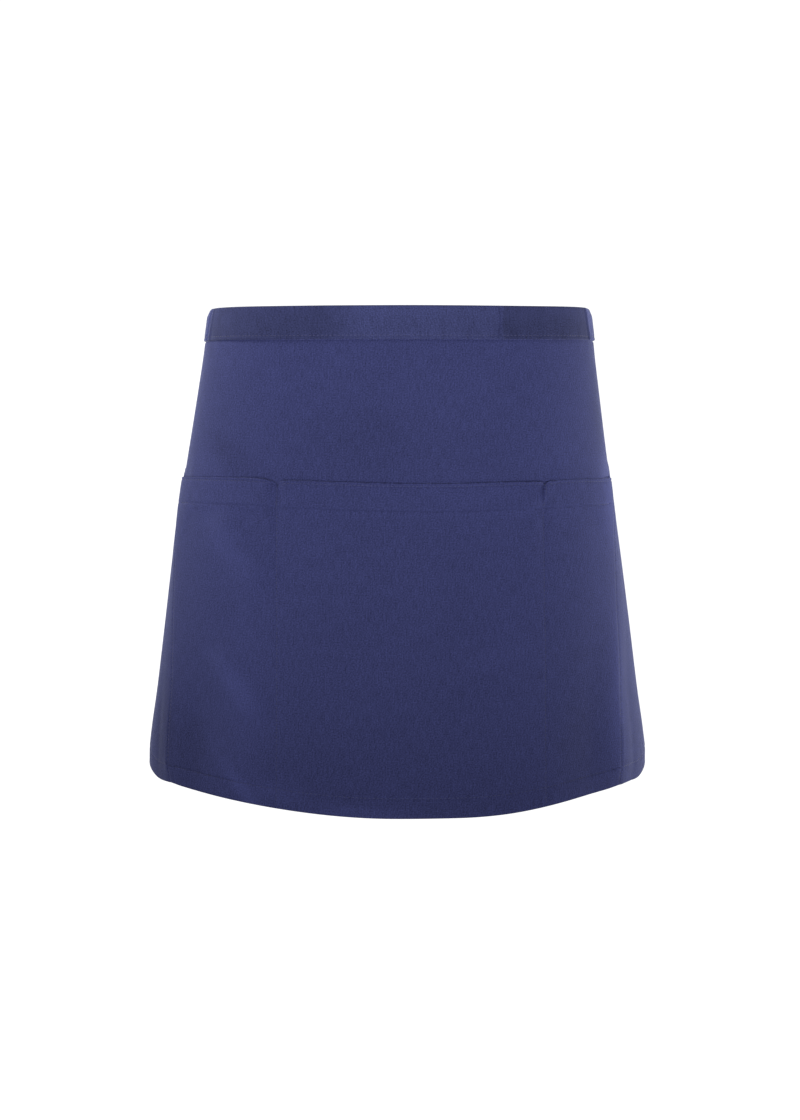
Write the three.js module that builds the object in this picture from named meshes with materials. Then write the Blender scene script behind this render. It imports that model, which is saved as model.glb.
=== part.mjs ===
// A short waist apron as it is worn: a cloth panel wrapped round the front of the waist, a wide
// patch pocket parted in three, a folded waistband that runs on into two ties, and a plain knot.
// Millimetres, +Z up. The front faces -Y. The origin is the middle of the waist, at half the
// waistband's height.
//
// Every piece of cloth is drawn on one worn form. A place on it is given by `along`, the distance
// round the form from the middle of the front, positive towards +X, and by `drop`, the distance
// down from the waistband's top edge. A third number, `lift`, is the distance outwards.

import * as THREE from 'three';

// Driving dimensions
const APRON_LENGTH = 300;
const PANEL_WIDTH = 550;
const BAND_HEIGHT = 20.5;
const CLOTH = 1.0;
const LAYER_GAP = 0.4;
const END_GAP = 0.3;

const SIDE_HEM = 12;
const BOTTOM_HEM = 12;
const HEM_LAYER = 0.9;

const POCKET_LEFT = -163;
const POCKET_RIGHT = 153;
const DIVIDER_LEFT = -73.5;
const DIVIDER_RIGHT = 90.3;
const POCKET_DROP = 104.3;
const POCKET_HEM = 17.5;

const JOIN_SEAM = 60;
const BAND_FOLD = 1.2;
const PANEL_TOP = 2.6;

const KNOT_WIDTH = 22;
const KNOT_HEIGHT = 23;
const KNOT_DEPTH = 15;
const KNOT_ROUND = 2;
const KNOT_SEAT = 4.5;
const TIE_AT_KNOT = 12;
const TIE_GATHER = 40;
const TIE_END_LENGTH = 110;
const TIE_END_OUT = 6.8;
const TIE_END_LEAN = 0.2;

// Level sections of the worn form. Front and back are half superellipses of one half width.
const SECTIONS = [
  { drop: 0, halfWidth: 118.6, frontDepth: 73, backDepth: 85, squareness: 2.3, shift: 0.8 },
  { drop: 21, halfWidth: 121.2, frontDepth: 75, backDepth: 87, squareness: 2.3, shift: 0.7 },
  { drop: 104, halfWidth: 133.4, frontDepth: 81, backDepth: 98, squareness: 2.15, shift: -0.8 },
  { drop: 125, halfWidth: 137.2, frontDepth: 84.5, backDepth: 101, squareness: 2.15, shift: -1.1 },
  { drop: 200, halfWidth: 146.6, frontDepth: 98, backDepth: 111, squareness: 2.1, shift: -0.7 },
  { drop: 300, halfWidth: 158.0, frontDepth: 113, backDepth: 124, squareness: 2.1, shift: -0.6 },
];

// The hem hangs lowest at the middle of the front and lifts towards both sides.
const HEM_LIFT = { height: 11.5, leftReach: 182, rightReach: 198 };

// The pocket's three compartments, from left to right. `gape` is how far the mouth stands off the
// panel, `sag` how far its edge droops between the stitch lines that close it.
const COMPARTMENTS = [
  { from: POCKET_LEFT, to: DIVIDER_LEFT, gape: 1.7, sag: 0.4 },
  { from: DIVIDER_LEFT, to: DIVIDER_RIGHT, gape: 2.3, sag: 2.4 },
  { from: DIVIDER_RIGHT, to: POCKET_RIGHT, gape: 2.0, sag: 0.6 },
];
const GAPE_REACH = 70;
const GAPE_FULLNESS = 0.6;

// Where the mouth of a compartment is tacked to the panel its edge is drawn down beside the tack.
const TACK_REACH = 3.5;
const TACKS = [
  { along: DIVIDER_LEFT - TACK_REACH, dip: 1.8 },
  { along: DIVIDER_RIGHT, dip: 0.9 },
];

// Soft hollows and swells in the cloth. `rise` is positive outwards.
const DENTS = [
  { along: -104, drop: 88, width: 26, height: 20, rise: -1.2 },
  { along: -88, drop: 152, width: 24, height: 40, rise: 1.3 },
  { along: -96, drop: 228, width: 26, height: 32, rise: 1.5 },
  { along: -140, drop: 262, width: 24, height: 30, rise: -1.2 },
  { along: 60, drop: 208, width: 46, height: 14, rise: 1.2 },
  { along: -46, drop: 30, width: 14, height: 8, rise: -0.5 },
];

// Mesh spacing
const COLUMN_STEP = 9.5;
const ROW_STEP = 17;
const HEM_STEP = 0.8;
const TIE_END_STEP = 10;
const RING_SAMPLES = 400;
const SLOPE_STEP = 2;

const NAVY = new THREE.Color(0x3c4068);

function smoothstep(from, to, value) {
  return THREE.MathUtils.smoothstep(value, from, to);
}

// A smooth value of one column of SECTIONS at any drop.
function sectionValue(column, drop) {
  const last = SECTIONS.length - 1;
  let i = 0;
  while (i < last - 1 && drop > SECTIONS[i + 1].drop) i += 1;
  const slope = (k) => {
    const before = SECTIONS[Math.max(k - 1, 0)];
    const after = SECTIONS[Math.min(k + 1, last)];
    return (after[column] - before[column]) / (after.drop - before.drop);
  };
  const [a, b] = [SECTIONS[i], SECTIONS[i + 1]];
  const span = b.drop - a.drop;
  const t = THREE.MathUtils.clamp((drop - a.drop) / span, 0, 1);
  const bend = t * t * (3 - 2 * t);
  const leave = slope(i) * span * t * (1 - t) * (1 - t);
  const arrive = slope(i + 1) * span * t * t * (t - 1);
  return a[column] + (b[column] - a[column]) * bend + leave + arrive;
}

function sectionAt(drop) {
  return {
    halfWidth: sectionValue('halfWidth', drop),
    frontDepth: sectionValue('frontDepth', drop),
    backDepth: sectionValue('backDepth', drop),
    squareness: sectionValue('squareness', drop),
    shift: sectionValue('shift', drop),
  };
}

// A point of the section's right half. The angle is 0 in front and pi behind.
function sectionPoint(section, angle) {
  const power = 2 / section.squareness;
  const depth = angle < Math.PI / 2 ? -section.frontDepth : section.backDepth;
  return new THREE.Vector2(
    section.halfWidth * Math.sin(angle) ** power,
    depth * Math.abs(Math.cos(angle)) ** power,
  );
}

// The point at a distance round the section from the middle of the front.
function ringPoint(section, along) {
  const distance = Math.abs(along);
  let walked = 0;
  let here = sectionPoint(section, 0);
  for (let i = 1; i <= RING_SAMPLES; i += 1) {
    const next = sectionPoint(section, (i / RING_SAMPLES) * Math.PI);
    const step = here.distanceTo(next);
    if (walked + step >= distance) {
      here.lerp(next, (distance - walked) / step);
      break;
    }
    walked += step;
    here = next;
  }
  return new THREE.Vector2(Math.sign(along) * here.x + section.shift, here.y);
}

function halfGirth(drop) {
  const section = sectionAt(drop);
  let total = 0;
  for (let i = 1; i <= RING_SAMPLES; i += 1) {
    const from = sectionPoint(section, ((i - 1) / RING_SAMPLES) * Math.PI);
    total += from.distanceTo(sectionPoint(section, (i / RING_SAMPLES) * Math.PI));
  }
  return total;
}

function hemLift(along, drop) {
  const reach = along < 0 ? HEM_LIFT.leftReach : HEM_LIFT.rightReach;
  return HEM_LIFT.height * (drop / APRON_LENGTH) ** 2 * smoothstep(0, reach, Math.abs(along));
}

function formPoint(along, drop) {
  const ring = ringPoint(sectionAt(drop), along);
  return new THREE.Vector3(ring.x, ring.y, BAND_HEIGHT / 2 - drop + hemLift(along, drop));
}

function formNormal(along, drop) {
  const acrossStep = formPoint(along + SLOPE_STEP, drop).sub(formPoint(along - SLOPE_STEP, drop));
  const top = Math.max(drop - SLOPE_STEP, 0);
  const downStep = formPoint(along, drop + SLOPE_STEP).sub(formPoint(along, top));
  return downStep.cross(acrossStep).normalize();
}

function liftedPoint(along, drop, lift) {
  return formPoint(along, drop).addScaledVector(formNormal(along, drop), lift);
}

function dentRise(along, drop) {
  let rise = 0;
  for (const dent of DENTS) {
    const across = (along - dent.along) / dent.width;
    const down = (drop - dent.drop) / dent.height;
    rise += dent.rise * Math.exp(-across * across - down * down);
  }
  return rise;
}

// Values from `from` to `to` at about `step` apart that also pass through each value of `stops`.
function stations(from, to, step, stops) {
  const inside = stops.filter((stop) => stop > from && stop < to).sort((a, b) => a - b);
  const knots = [from, ...inside, to];
  const values = [from];
  for (let i = 1; i < knots.length; i += 1) {
    const count = Math.max(1, Math.round((knots[i] - knots[i - 1]) / step));
    for (let k = 1; k <= count; k += 1) {
      values.push(THREE.MathUtils.lerp(knots[i - 1], knots[i], k / count));
    }
  }
  return values;
}

function solidFrom(points, triangles) {
  const geometry = new THREE.BufferGeometry();
  const positions = points.flatMap((point) => point.toArray());
  geometry.setAttribute('position', new THREE.Float32BufferAttribute(positions, 3));
  geometry.setIndex(triangles);
  geometry.computeVertexNormals();
  return geometry;
}

// A closed cloth wall: an outer and an inner sheet over the same columns and rows, joined round
// the edge. Columns run towards +X in front, and rows run down.
function clothWall(columns, rows, outerPoint, innerPoint) {
  const points = [];
  const triangles = [];
  for (const sheet of [outerPoint, innerPoint]) {
    for (const row of rows) {
      for (const column of columns) points.push(sheet(column, row));
    }
  }
  const [width, height] = [columns.length, rows.length];
  const outer = (c, r) => r * width + c;
  const inner = (c, r) => width * height + outer(c, r);
  const quad = (a, b, c, d) => triangles.push(a, b, c, a, c, d);
  for (let r = 0; r < height - 1; r += 1) {
    for (let c = 0; c < width - 1; c += 1) {
      quad(outer(c, r), outer(c, r + 1), outer(c + 1, r + 1), outer(c + 1, r));
      quad(inner(c, r), inner(c + 1, r), inner(c + 1, r + 1), inner(c, r + 1));
    }
  }
  for (let c = 0; c < width - 1; c += 1) {
    quad(outer(c, 0), outer(c + 1, 0), inner(c + 1, 0), inner(c, 0));
    quad(outer(c + 1, height - 1), outer(c, height - 1), inner(c, height - 1), inner(c + 1, height - 1));
  }
  for (let r = 0; r < height - 1; r += 1) {
    quad(outer(0, r + 1), outer(0, r), inner(0, r), inner(0, r + 1));
    quad(outer(width - 1, r), outer(width - 1, r + 1), inner(width - 1, r + 1), inner(width - 1, r));
  }
  return solidFrom(points, triangles);
}

// A closed strip: rings of points, one for each station, with both ends capped. `outline` is the
// ring laid flat, so that a bent ring is capped along its own shape.
function sweptStrip(rings, outline) {
  const count = outline.length;
  const triangles = [];
  for (let s = 0; s < rings.length - 1; s += 1) {
    for (let k = 0; k < count; k += 1) {
      const [a, b] = [s * count + k, s * count + ((k + 1) % count)];
      triangles.push(a, b, b + count, a, b + count, a + count);
    }
  }
  const lastRing = (rings.length - 1) * count;
  for (const [a, b, c] of THREE.ShapeUtils.triangulateShape(outline, [])) {
    triangles.push(a, b, c, lastRing + a, lastRing + c, lastRing + b);
  }
  return solidFrom(rings.flat(), triangles);
}

const panelHalf = PANEL_WIDTH / 2;
const tieReach = halfGirth(BAND_HEIGHT / 2) - KNOT_WIDTH / 2 - 2 * END_GAP;
const dividerStops = COMPARTMENTS.slice(1).flatMap(({ from }) => [
  from - TACK_REACH,
  from,
  from + TACK_REACH,
]);
const pocketStops = [POCKET_LEFT, ...dividerStops, POCKET_RIGHT];
const sideHemStops = [-1, 1].flatMap((side) => [
  side * (panelHalf - SIDE_HEM),
  side * (panelHalf - SIDE_HEM + HEM_STEP),
]);
const panelColumns = stations(-panelHalf, panelHalf, COLUMN_STEP, [
  ...sideHemStops,
  ...pocketStops,
  JOIN_SEAM,
]);

// Skirt panel: one layer, doubled inwards along its side hems and its bottom hem.
function panelGeometry() {
  const hemTop = APRON_LENGTH - BOTTOM_HEM;
  const rows = stations(PANEL_TOP, APRON_LENGTH, ROW_STEP, [
    BAND_HEIGHT + LAYER_GAP,
    BAND_HEIGHT + LAYER_GAP + HEM_STEP,
    POCKET_DROP,
    hemTop,
    hemTop + HEM_STEP,
  ]);
  const hemDepth = (along, drop) => {
    const inSide = Math.abs(along) > panelHalf - SIDE_HEM + HEM_STEP / 2;
    const inBottom = drop > hemTop + HEM_STEP / 2;
    const belowBand = drop > BAND_HEIGHT + LAYER_GAP + HEM_STEP / 2;
    return (inSide || inBottom) && belowBand ? HEM_LAYER : 0;
  };
  const calm = (along, drop) => {
    const belowBand = smoothstep(BAND_HEIGHT, BAND_HEIGHT + ROW_STEP, drop);
    return belowBand * dentRise(along, drop);
  };
  return clothWall(
    panelColumns,
    rows,
    (along, drop) => liftedPoint(along, drop, CLOTH + calm(along, drop)),
    (along, drop) => liftedPoint(along, drop, calm(along, drop) - hemDepth(along, drop)),
  );
}

// Pocket: the patch lies on the panel along its stitch lines and stands off between them. Its
// mouth has a turned hem, so it is thicker there.
function compartmentAt(along) {
  return COMPARTMENTS.find((compartment) => along <= compartment.to) ?? COMPARTMENTS.at(-1);
}

function pocketArch(along) {
  const compartment = compartmentAt(along);
  const share = (along - compartment.from) / (compartment.to - compartment.from);
  return Math.sin(Math.PI * THREE.MathUtils.clamp(share, 0, 1));
}

function mouthDrop(along) {
  let drop = POCKET_DROP + compartmentAt(along).sag * pocketArch(along);
  for (const tack of TACKS) {
    drop += tack.dip * Math.max(0, 1 - Math.abs(along - tack.along) / TACK_REACH);
  }
  return drop;
}

function pocketGeometry() {
  const columns = panelColumns.filter((along) => along >= POCKET_LEFT && along <= POCKET_RIGHT);
  const depth = APRON_LENGTH - POCKET_DROP;
  const rows = stations(0, depth, ROW_STEP, [POCKET_HEM, POCKET_HEM + HEM_STEP, depth - BOTTOM_HEM]);
  const place = (along, row) => THREE.MathUtils.mapLinear(row, 0, depth, mouthDrop(along), APRON_LENGTH);
  const standOff = (along, row) => {
    const settle = Math.exp(-row / GAPE_REACH) * (1 - row / depth);
    const gape = compartmentAt(along).gape * pocketArch(along) ** GAPE_FULLNESS;
    return CLOTH + LAYER_GAP + gape * settle;
  };
  const thickness = (row) => (row < POCKET_HEM + HEM_STEP / 2 ? CLOTH + HEM_LAYER : CLOTH);
  const sheet = (extra) => (along, row) => {
    const drop = place(along, row);
    return liftedPoint(along, drop, dentRise(along, drop) + standOff(along, row) + extra(row));
  };
  return clothWall(columns, rows, sheet(thickness), sheet(() => 0));
}

// Waistband strip: folded over the panel's top edge, and closed on itself where it becomes a tie.
// Towards the knot the tie gathers to a narrower height.
function bandOutline(along) {
  const reach = Math.abs(along);
  const closing = smoothstep(panelHalf, panelHalf + 2 * SIDE_HEM, reach);
  const slot = THREE.MathUtils.lerp(CLOTH / 2 + LAYER_GAP, LAYER_GAP / 2, closing);
  const gather = smoothstep(tieReach - TIE_GATHER, tieReach, reach);
  const height = THREE.MathUtils.lerp(BAND_HEIGHT, TIE_AT_KNOT, gather);
  const top = (BAND_HEIGHT - height) / 2;
  const bottom = top + height;
  const [middle, face] = [CLOTH / 2, slot + CLOTH];
  return [
    [bottom, face],
    [bottom, slot],
    [top + 2 * BAND_FOLD, slot],
    [top + 2 * BAND_FOLD, -slot],
    [bottom, -slot],
    [bottom, -face],
    [top + BAND_FOLD, -face],
    [top + BAND_FOLD / 4, -face / 2],
    [top, 0],
    [top + BAND_FOLD / 4, face / 2],
    [top + BAND_FOLD, face],
  ].map(([drop, lift]) => new THREE.Vector2(drop, middle + lift));
}

// The form widens downwards, so a tie's lower edge runs a little further to reach the same place.
function tieAlong(along, drop) {
  const wider = halfGirth(drop) / halfGirth(BAND_HEIGHT / 2);
  return along * THREE.MathUtils.lerp(1, wider, smoothstep(panelHalf, tieReach, Math.abs(along)));
}

function bandGeometry(from, to) {
  const places = stations(from, to, COLUMN_STEP, panelColumns);
  const rings = places.map((along) =>
    bandOutline(along).map(({ x: drop, y: lift }) => liftedPoint(tieAlong(along, drop), drop, lift)),
  );
  return sweptStrip(rings, bandOutline(0));
}

// Knot: a plain wrap round the two ties, with its axis along them.
function knotGeometry() {
  const profile = new THREE.Shape();
  const [tall, deep] = [KNOT_HEIGHT / 2 - KNOT_ROUND, KNOT_DEPTH / 2 - KNOT_ROUND];
  profile.absellipse(0, 0, tall, deep, 0, 2 * Math.PI);
  const depth = KNOT_WIDTH - 2 * KNOT_ROUND;
  const geometry = new THREE.ExtrudeGeometry(profile, {
    depth,
    bevelThickness: KNOT_ROUND,
    bevelSize: KNOT_ROUND,
    bevelSegments: 3,
    curveSegments: 10,
  });
  geometry.translate(0, 0, -depth / 2);
  geometry.rotateY(Math.PI / 2);
  return geometry;
}

// Tie end: leaves the knot's underside gathered, spreads to its full width and hangs down the back.
function tieEndGeometry(side) {
  const top = (BAND_HEIGHT + KNOT_HEIGHT) / 2 + END_GAP;
  const columns = [-1, -0.5, 0, 0.5, 1];
  const rows = stations(0, TIE_END_LENGTH, TIE_END_STEP, []);
  const place = (share, row, lift) => {
    const width = THREE.MathUtils.lerp(TIE_AT_KNOT, BAND_HEIGHT, smoothstep(0, TIE_GATHER, row));
    const x = side * (TIE_END_OUT + TIE_END_LEAN * row) - (share * width) / 2;
    const section = sectionAt(top + row);
    const inset = (Math.abs(x) / section.halfWidth) ** section.squareness;
    const y = section.backDepth * (1 - inset) ** (1 / section.squareness);
    return new THREE.Vector3(x + section.shift, y + KNOT_SEAT + lift, BAND_HEIGHT / 2 - top - row);
  };
  return clothWall(
    columns,
    rows,
    (share, row) => place(share, row, CLOTH),
    (share, row) => place(share, row, -CLOTH),
  );
}

function clothMesh(name, geometry) {
  const material = new THREE.MeshStandardMaterial({ color: NAVY, roughness: 0.85, metalness: 0 });
  const mesh = new THREE.Mesh(geometry, material);
  mesh.name = name;
  return mesh;
}

const waist = sectionAt(BAND_HEIGHT / 2);
const knot = clothMesh('tie_knot', knotGeometry());
knot.position.set(waist.shift, waist.backDepth + KNOT_SEAT, 0);

const apron = new THREE.Group();
apron.add(
  clothMesh('skirt_panel', panelGeometry()),
  clothMesh('pocket', pocketGeometry()),
  clothMesh('waistband_left', bandGeometry(-tieReach, JOIN_SEAM - END_GAP / 2)),
  clothMesh('waistband_right', bandGeometry(JOIN_SEAM + END_GAP / 2, tieReach)),
  knot,
  clothMesh('tie_end_left', tieEndGeometry(-1)),
  clothMesh('tie_end_right', tieEndGeometry(1)),
);

export default apron;
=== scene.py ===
"""Dresses the solids of a short waist apron as sewn cloth: a panel with turned hems, a patch pocket
parted in three, a folded waistband that runs on as two ties, their knot, and all the stitching.

Cloth is laid out in millimetres on one worn form. `along` is the distance round the form from the
middle of the front, positive towards +X, `drop` the distance down from the waistband's top edge, and
`lift` the distance outwards. Points become metres when a mesh is filled. A span is the place where
something begins and the place where it is full.
"""

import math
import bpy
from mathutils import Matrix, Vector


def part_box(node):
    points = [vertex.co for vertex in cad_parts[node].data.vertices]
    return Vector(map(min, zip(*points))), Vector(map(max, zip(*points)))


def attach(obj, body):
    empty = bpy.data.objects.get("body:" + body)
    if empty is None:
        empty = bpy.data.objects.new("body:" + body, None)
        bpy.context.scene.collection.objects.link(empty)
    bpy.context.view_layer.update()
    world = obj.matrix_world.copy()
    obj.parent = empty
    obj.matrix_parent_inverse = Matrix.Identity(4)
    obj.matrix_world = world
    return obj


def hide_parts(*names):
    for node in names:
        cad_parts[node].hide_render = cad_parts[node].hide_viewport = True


bl_info = {
    "name": "Waist apron",
    "version": (1, 0, 0),
    "blender": (4, 5, 0),
    "location": "3D View > Sidebar > Apron",
    "description": "Models a worn waist apron: a parted pocket, a folded waistband and its stitching",
    "category": "Object",
}

from functools import reduce

import bpy
import numpy as np
from bpy.props import FloatProperty, FloatVectorProperty, PointerProperty
from bpy.types import Operator, Panel, PropertyGroup

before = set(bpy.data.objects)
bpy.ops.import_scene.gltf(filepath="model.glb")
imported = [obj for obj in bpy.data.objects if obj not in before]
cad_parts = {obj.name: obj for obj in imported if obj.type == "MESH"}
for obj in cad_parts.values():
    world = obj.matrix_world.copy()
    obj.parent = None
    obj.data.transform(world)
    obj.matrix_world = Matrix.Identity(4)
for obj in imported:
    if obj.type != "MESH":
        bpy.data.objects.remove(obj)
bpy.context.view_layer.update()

MM = 0.001
UV_PER_MM = 0.01

# Level sections of the worn form: drop, half width, depth in front, depth behind, squareness, shift.
SECTIONS = np.array(
    [
        (0, 118.6, 73, 85, 2.3, 0.8),
        (21, 121.2, 75, 87, 2.3, 0.7),
        (104, 133.4, 81, 98, 2.15, -0.8),
        (125, 137.2, 84.5, 101, 2.15, -1.1),
        (200, 146.6, 98, 111, 2.1, -0.7),
        (300, 158.0, 113, 124, 2.1, -0.6),
    ]
)

# The hem hangs lowest in the middle of the front and lifts towards both sides.
HEM_RISE = 11.5
HEM_LEFT_SPAN = (0, 180)
HEM_RIGHT_SPAN = (38, 188)
SIDE_RISE = 4.0
SIDE_SPAN = (170, 215)
RIGHT_SWELL = 1.0
RIGHT_SWELL_GROWS = (60, 120)
RIGHT_SWELL_FADES = (120, 170)

# Before it turns round the sides the hem hangs a little lower: along, width, how far.
HEM_DIPS = [(-169, 13, 1.1), (176, 13, 1.2)]

# Round the hips the waistband and the pocket's mouth ride up a little, and less so below this drop.
HIP_RISE_LEFT = 0.9
HIP_RISE_RIGHT = 1.5
HIP_SPAN = (50, 165)
HIP_FADES_BELOW = 130

# Lifts of the cloth's middle above the form, and the room that each more layer of cloth takes.
PANEL_LIFT = 0.6
LAYER = 0.6
HEM_LAYER = 0.7
TURN_LAYER = 0.55

# The pocket's mouth, as along and drop, from one stitch line to the next.
MOUTH_LEFT = [
    (-163, 106.4), (-125, 104.8), (-98, 104.0), (-90, 103.8), (-84, 104.0), (-78, 104.5),
    (-74.8, 105.2), (-72.9, 106.5), (-72, 109.2),
]
MOUTH_MIDDLE = [
    (-72, 109.2), (-71, 106.7), (-69.4, 105.2), (-62, 104.5), (-38, 104.8), (-10, 105.3), (4, 105.6),
    (34, 105.7), (62, 105.2), (80, 105.6), (86.5, 106.0), (89.2, 107.0), (90.3, 109.2),
]
MOUTH_RIGHT = [
    (90.3, 109.2), (91.2, 107.0), (93, 106.1), (99, 105.7), (115, 105.8), (134, 106.8), (153, 107.2),
]

# The points of the mouth that lie clear of its dips at the stitch lines.
MOUTH_CLEAR = MOUTH_LEFT[:3] + MOUTH_MIDDLE[3:10] + MOUTH_RIGHT[3:]

# How far the pocket's side edges lie to the right of a straight cut, at the mouth and at the hem.
LEAN_LEFT = (0.0, 8.5)
LEAN_RIGHT = (4.0, -4.5)
LEAN_REACH = 90.0

# How far each compartment stands off the panel: in its middle, and beside its two ends.
GAPES = [(0.3, 0.2, 2.9), (0.5, 2.2, 2.0), (0.1, 0.5, 0.6)]
GAPE_REACH = 30

# Soft hollows and swells: along, drop, width, height, rise.
DENTS = [
    (-126, 254, 24, 32, -3.4),
    (124, 272, 20, 28, -2.2),
    (60, 208, 46, 14, 1.2),
    (-46, 30, 14, 8, -0.5),
    (-160, 121, 18, 14, -0.8),
]

# Soft folds: from along and drop, to along and drop, width above and below the ridge, rise.
FOLDS = [
    (-111, 128, -78, 165, 9, 15, 2.2),
    (-112, 212, -80, 241, 9, 11, 1.8),
    (73, 127, 88, 123, 4, 4, -0.5),
]

# The stiff pocket holds the cloth out along its side edges: reach inside and outside the edge, rise,
# span of drops, share that is lost at the foot.
RIDGE_LEFT = (24, 15, 1.6, (225, 265), 0.7)
RIDGE_RIGHT = (24, 17, 2.0, (180, 235), 0.35)
RIDGE_FOOT = 14

# The right ridge's crest lies this far inside the pocket's edge, but nearer towards the foot.
CREST_INSIDE = 5
CREST_SPAN = (275, 235)

# Upright creases in the waistband at the hips: along at its top edge and at its foot, width, rise.
BAND_CREASES = [
    (127.6, 132.2, 1.5, 0.75),
    (-127.6, -132.5, 1.1, 0.4),
    (-132.6, -139.0, 1.5, 0.7),
]

# Beyond the creases the top edge leans in, on the left and on the right.
BAND_CORNERS = (1.4, 1.2)
CORNER_SPAN = (120, 142)
CORNER_HEIGHT = 5.5
CORNER_FADE = 60

# How seams pucker: height, seed of the unevenness, reach beside the seam.
PUCKERS = {
    "hem": (0.14, 1, 5),
    "band": (0.16, 2, 7),
    "pocket_hem": (0.12, 3, 4),
    "mouth": (0.1, 4, 4),
    "left_divider": (0.06, 5, 4),
    "right_divider": (0.06, 6, 4),
}

# How seams draw the cloth in: depth and width. Where the depth is 1 it is given with each use.
GROOVES = {
    "hem": (0.22, 0.7),
    "side": (0.2, 0.7),
    "band_line": (0.42, 0.6),
    "waistband": (0.2, 0.7),
    "mouth": (0.35, 0.6),
    "pocket_hem": (0.5, 0.6),
    "pocket_foot": (1, 0.6),
    "pocket_side": (0.2, 0.7),
    "divider": (0.16, 0.8),
    "slit": (1, 0.5),
}


def smoothstep(start, stop, value):
    share = np.clip((value - start) / (stop - start), 0, 1)
    return share * share * (3 - 2 * share)


def smooth_curve(xs, ys, x):
    """A smooth curve through the points xs, ys, straight beyond its ends."""
    xs = np.asarray(xs, float)
    ys = np.asarray(ys, float)
    order = np.arange(len(xs))
    before = np.maximum(order - 1, 0)
    after = np.minimum(order + 1, len(xs) - 1)
    slope = (ys[after] - ys[before]) / (xs[after] - xs[before])
    i = np.clip(np.searchsorted(xs, x, side="right") - 1, 0, len(xs) - 2)
    span = xs[i + 1] - xs[i]
    t = (x - xs[i]) / span
    s = np.clip(t, 0, 1)
    inner = ys[i] + (ys[i + 1] - ys[i]) * s * s * (3 - 2 * s)
    inner = inner + slope[i] * span * s * (1 - s) ** 2 + slope[i + 1] * span * s * s * (s - 1)
    return inner + slope[i] * span * np.minimum(t, 0) + slope[i + 1] * span * np.maximum(t - 1, 0)


def unit(vectors):
    return vectors / np.linalg.norm(vectors, axis=-1, keepdims=True)


def hump(distance, width):
    return np.exp(-((distance / width) ** 2))


# Lengths of the waves in a puckered seam, and how far the seed turns each of them.
RIPPLE_WAVES = [(6.3, 1.0), (9.7, 2.3), (14.9, 4.1)]


def ripple(run, seed):
    """An uneven wave of about one, as a seam's thread draws the cloth up."""
    return sum(np.sin(2 * np.pi * run / long + seed * turn) for long, turn in RIPPLE_WAVES) / 2


def pucker(seam, run, beside):
    tall, seed, reach = PUCKERS[seam]
    return tall * ripple(run, seed) * hump(beside, reach)


def groove(seam, beside):
    deep, wide = GROOVES[seam]
    return deep * hump(beside, wide)


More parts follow.
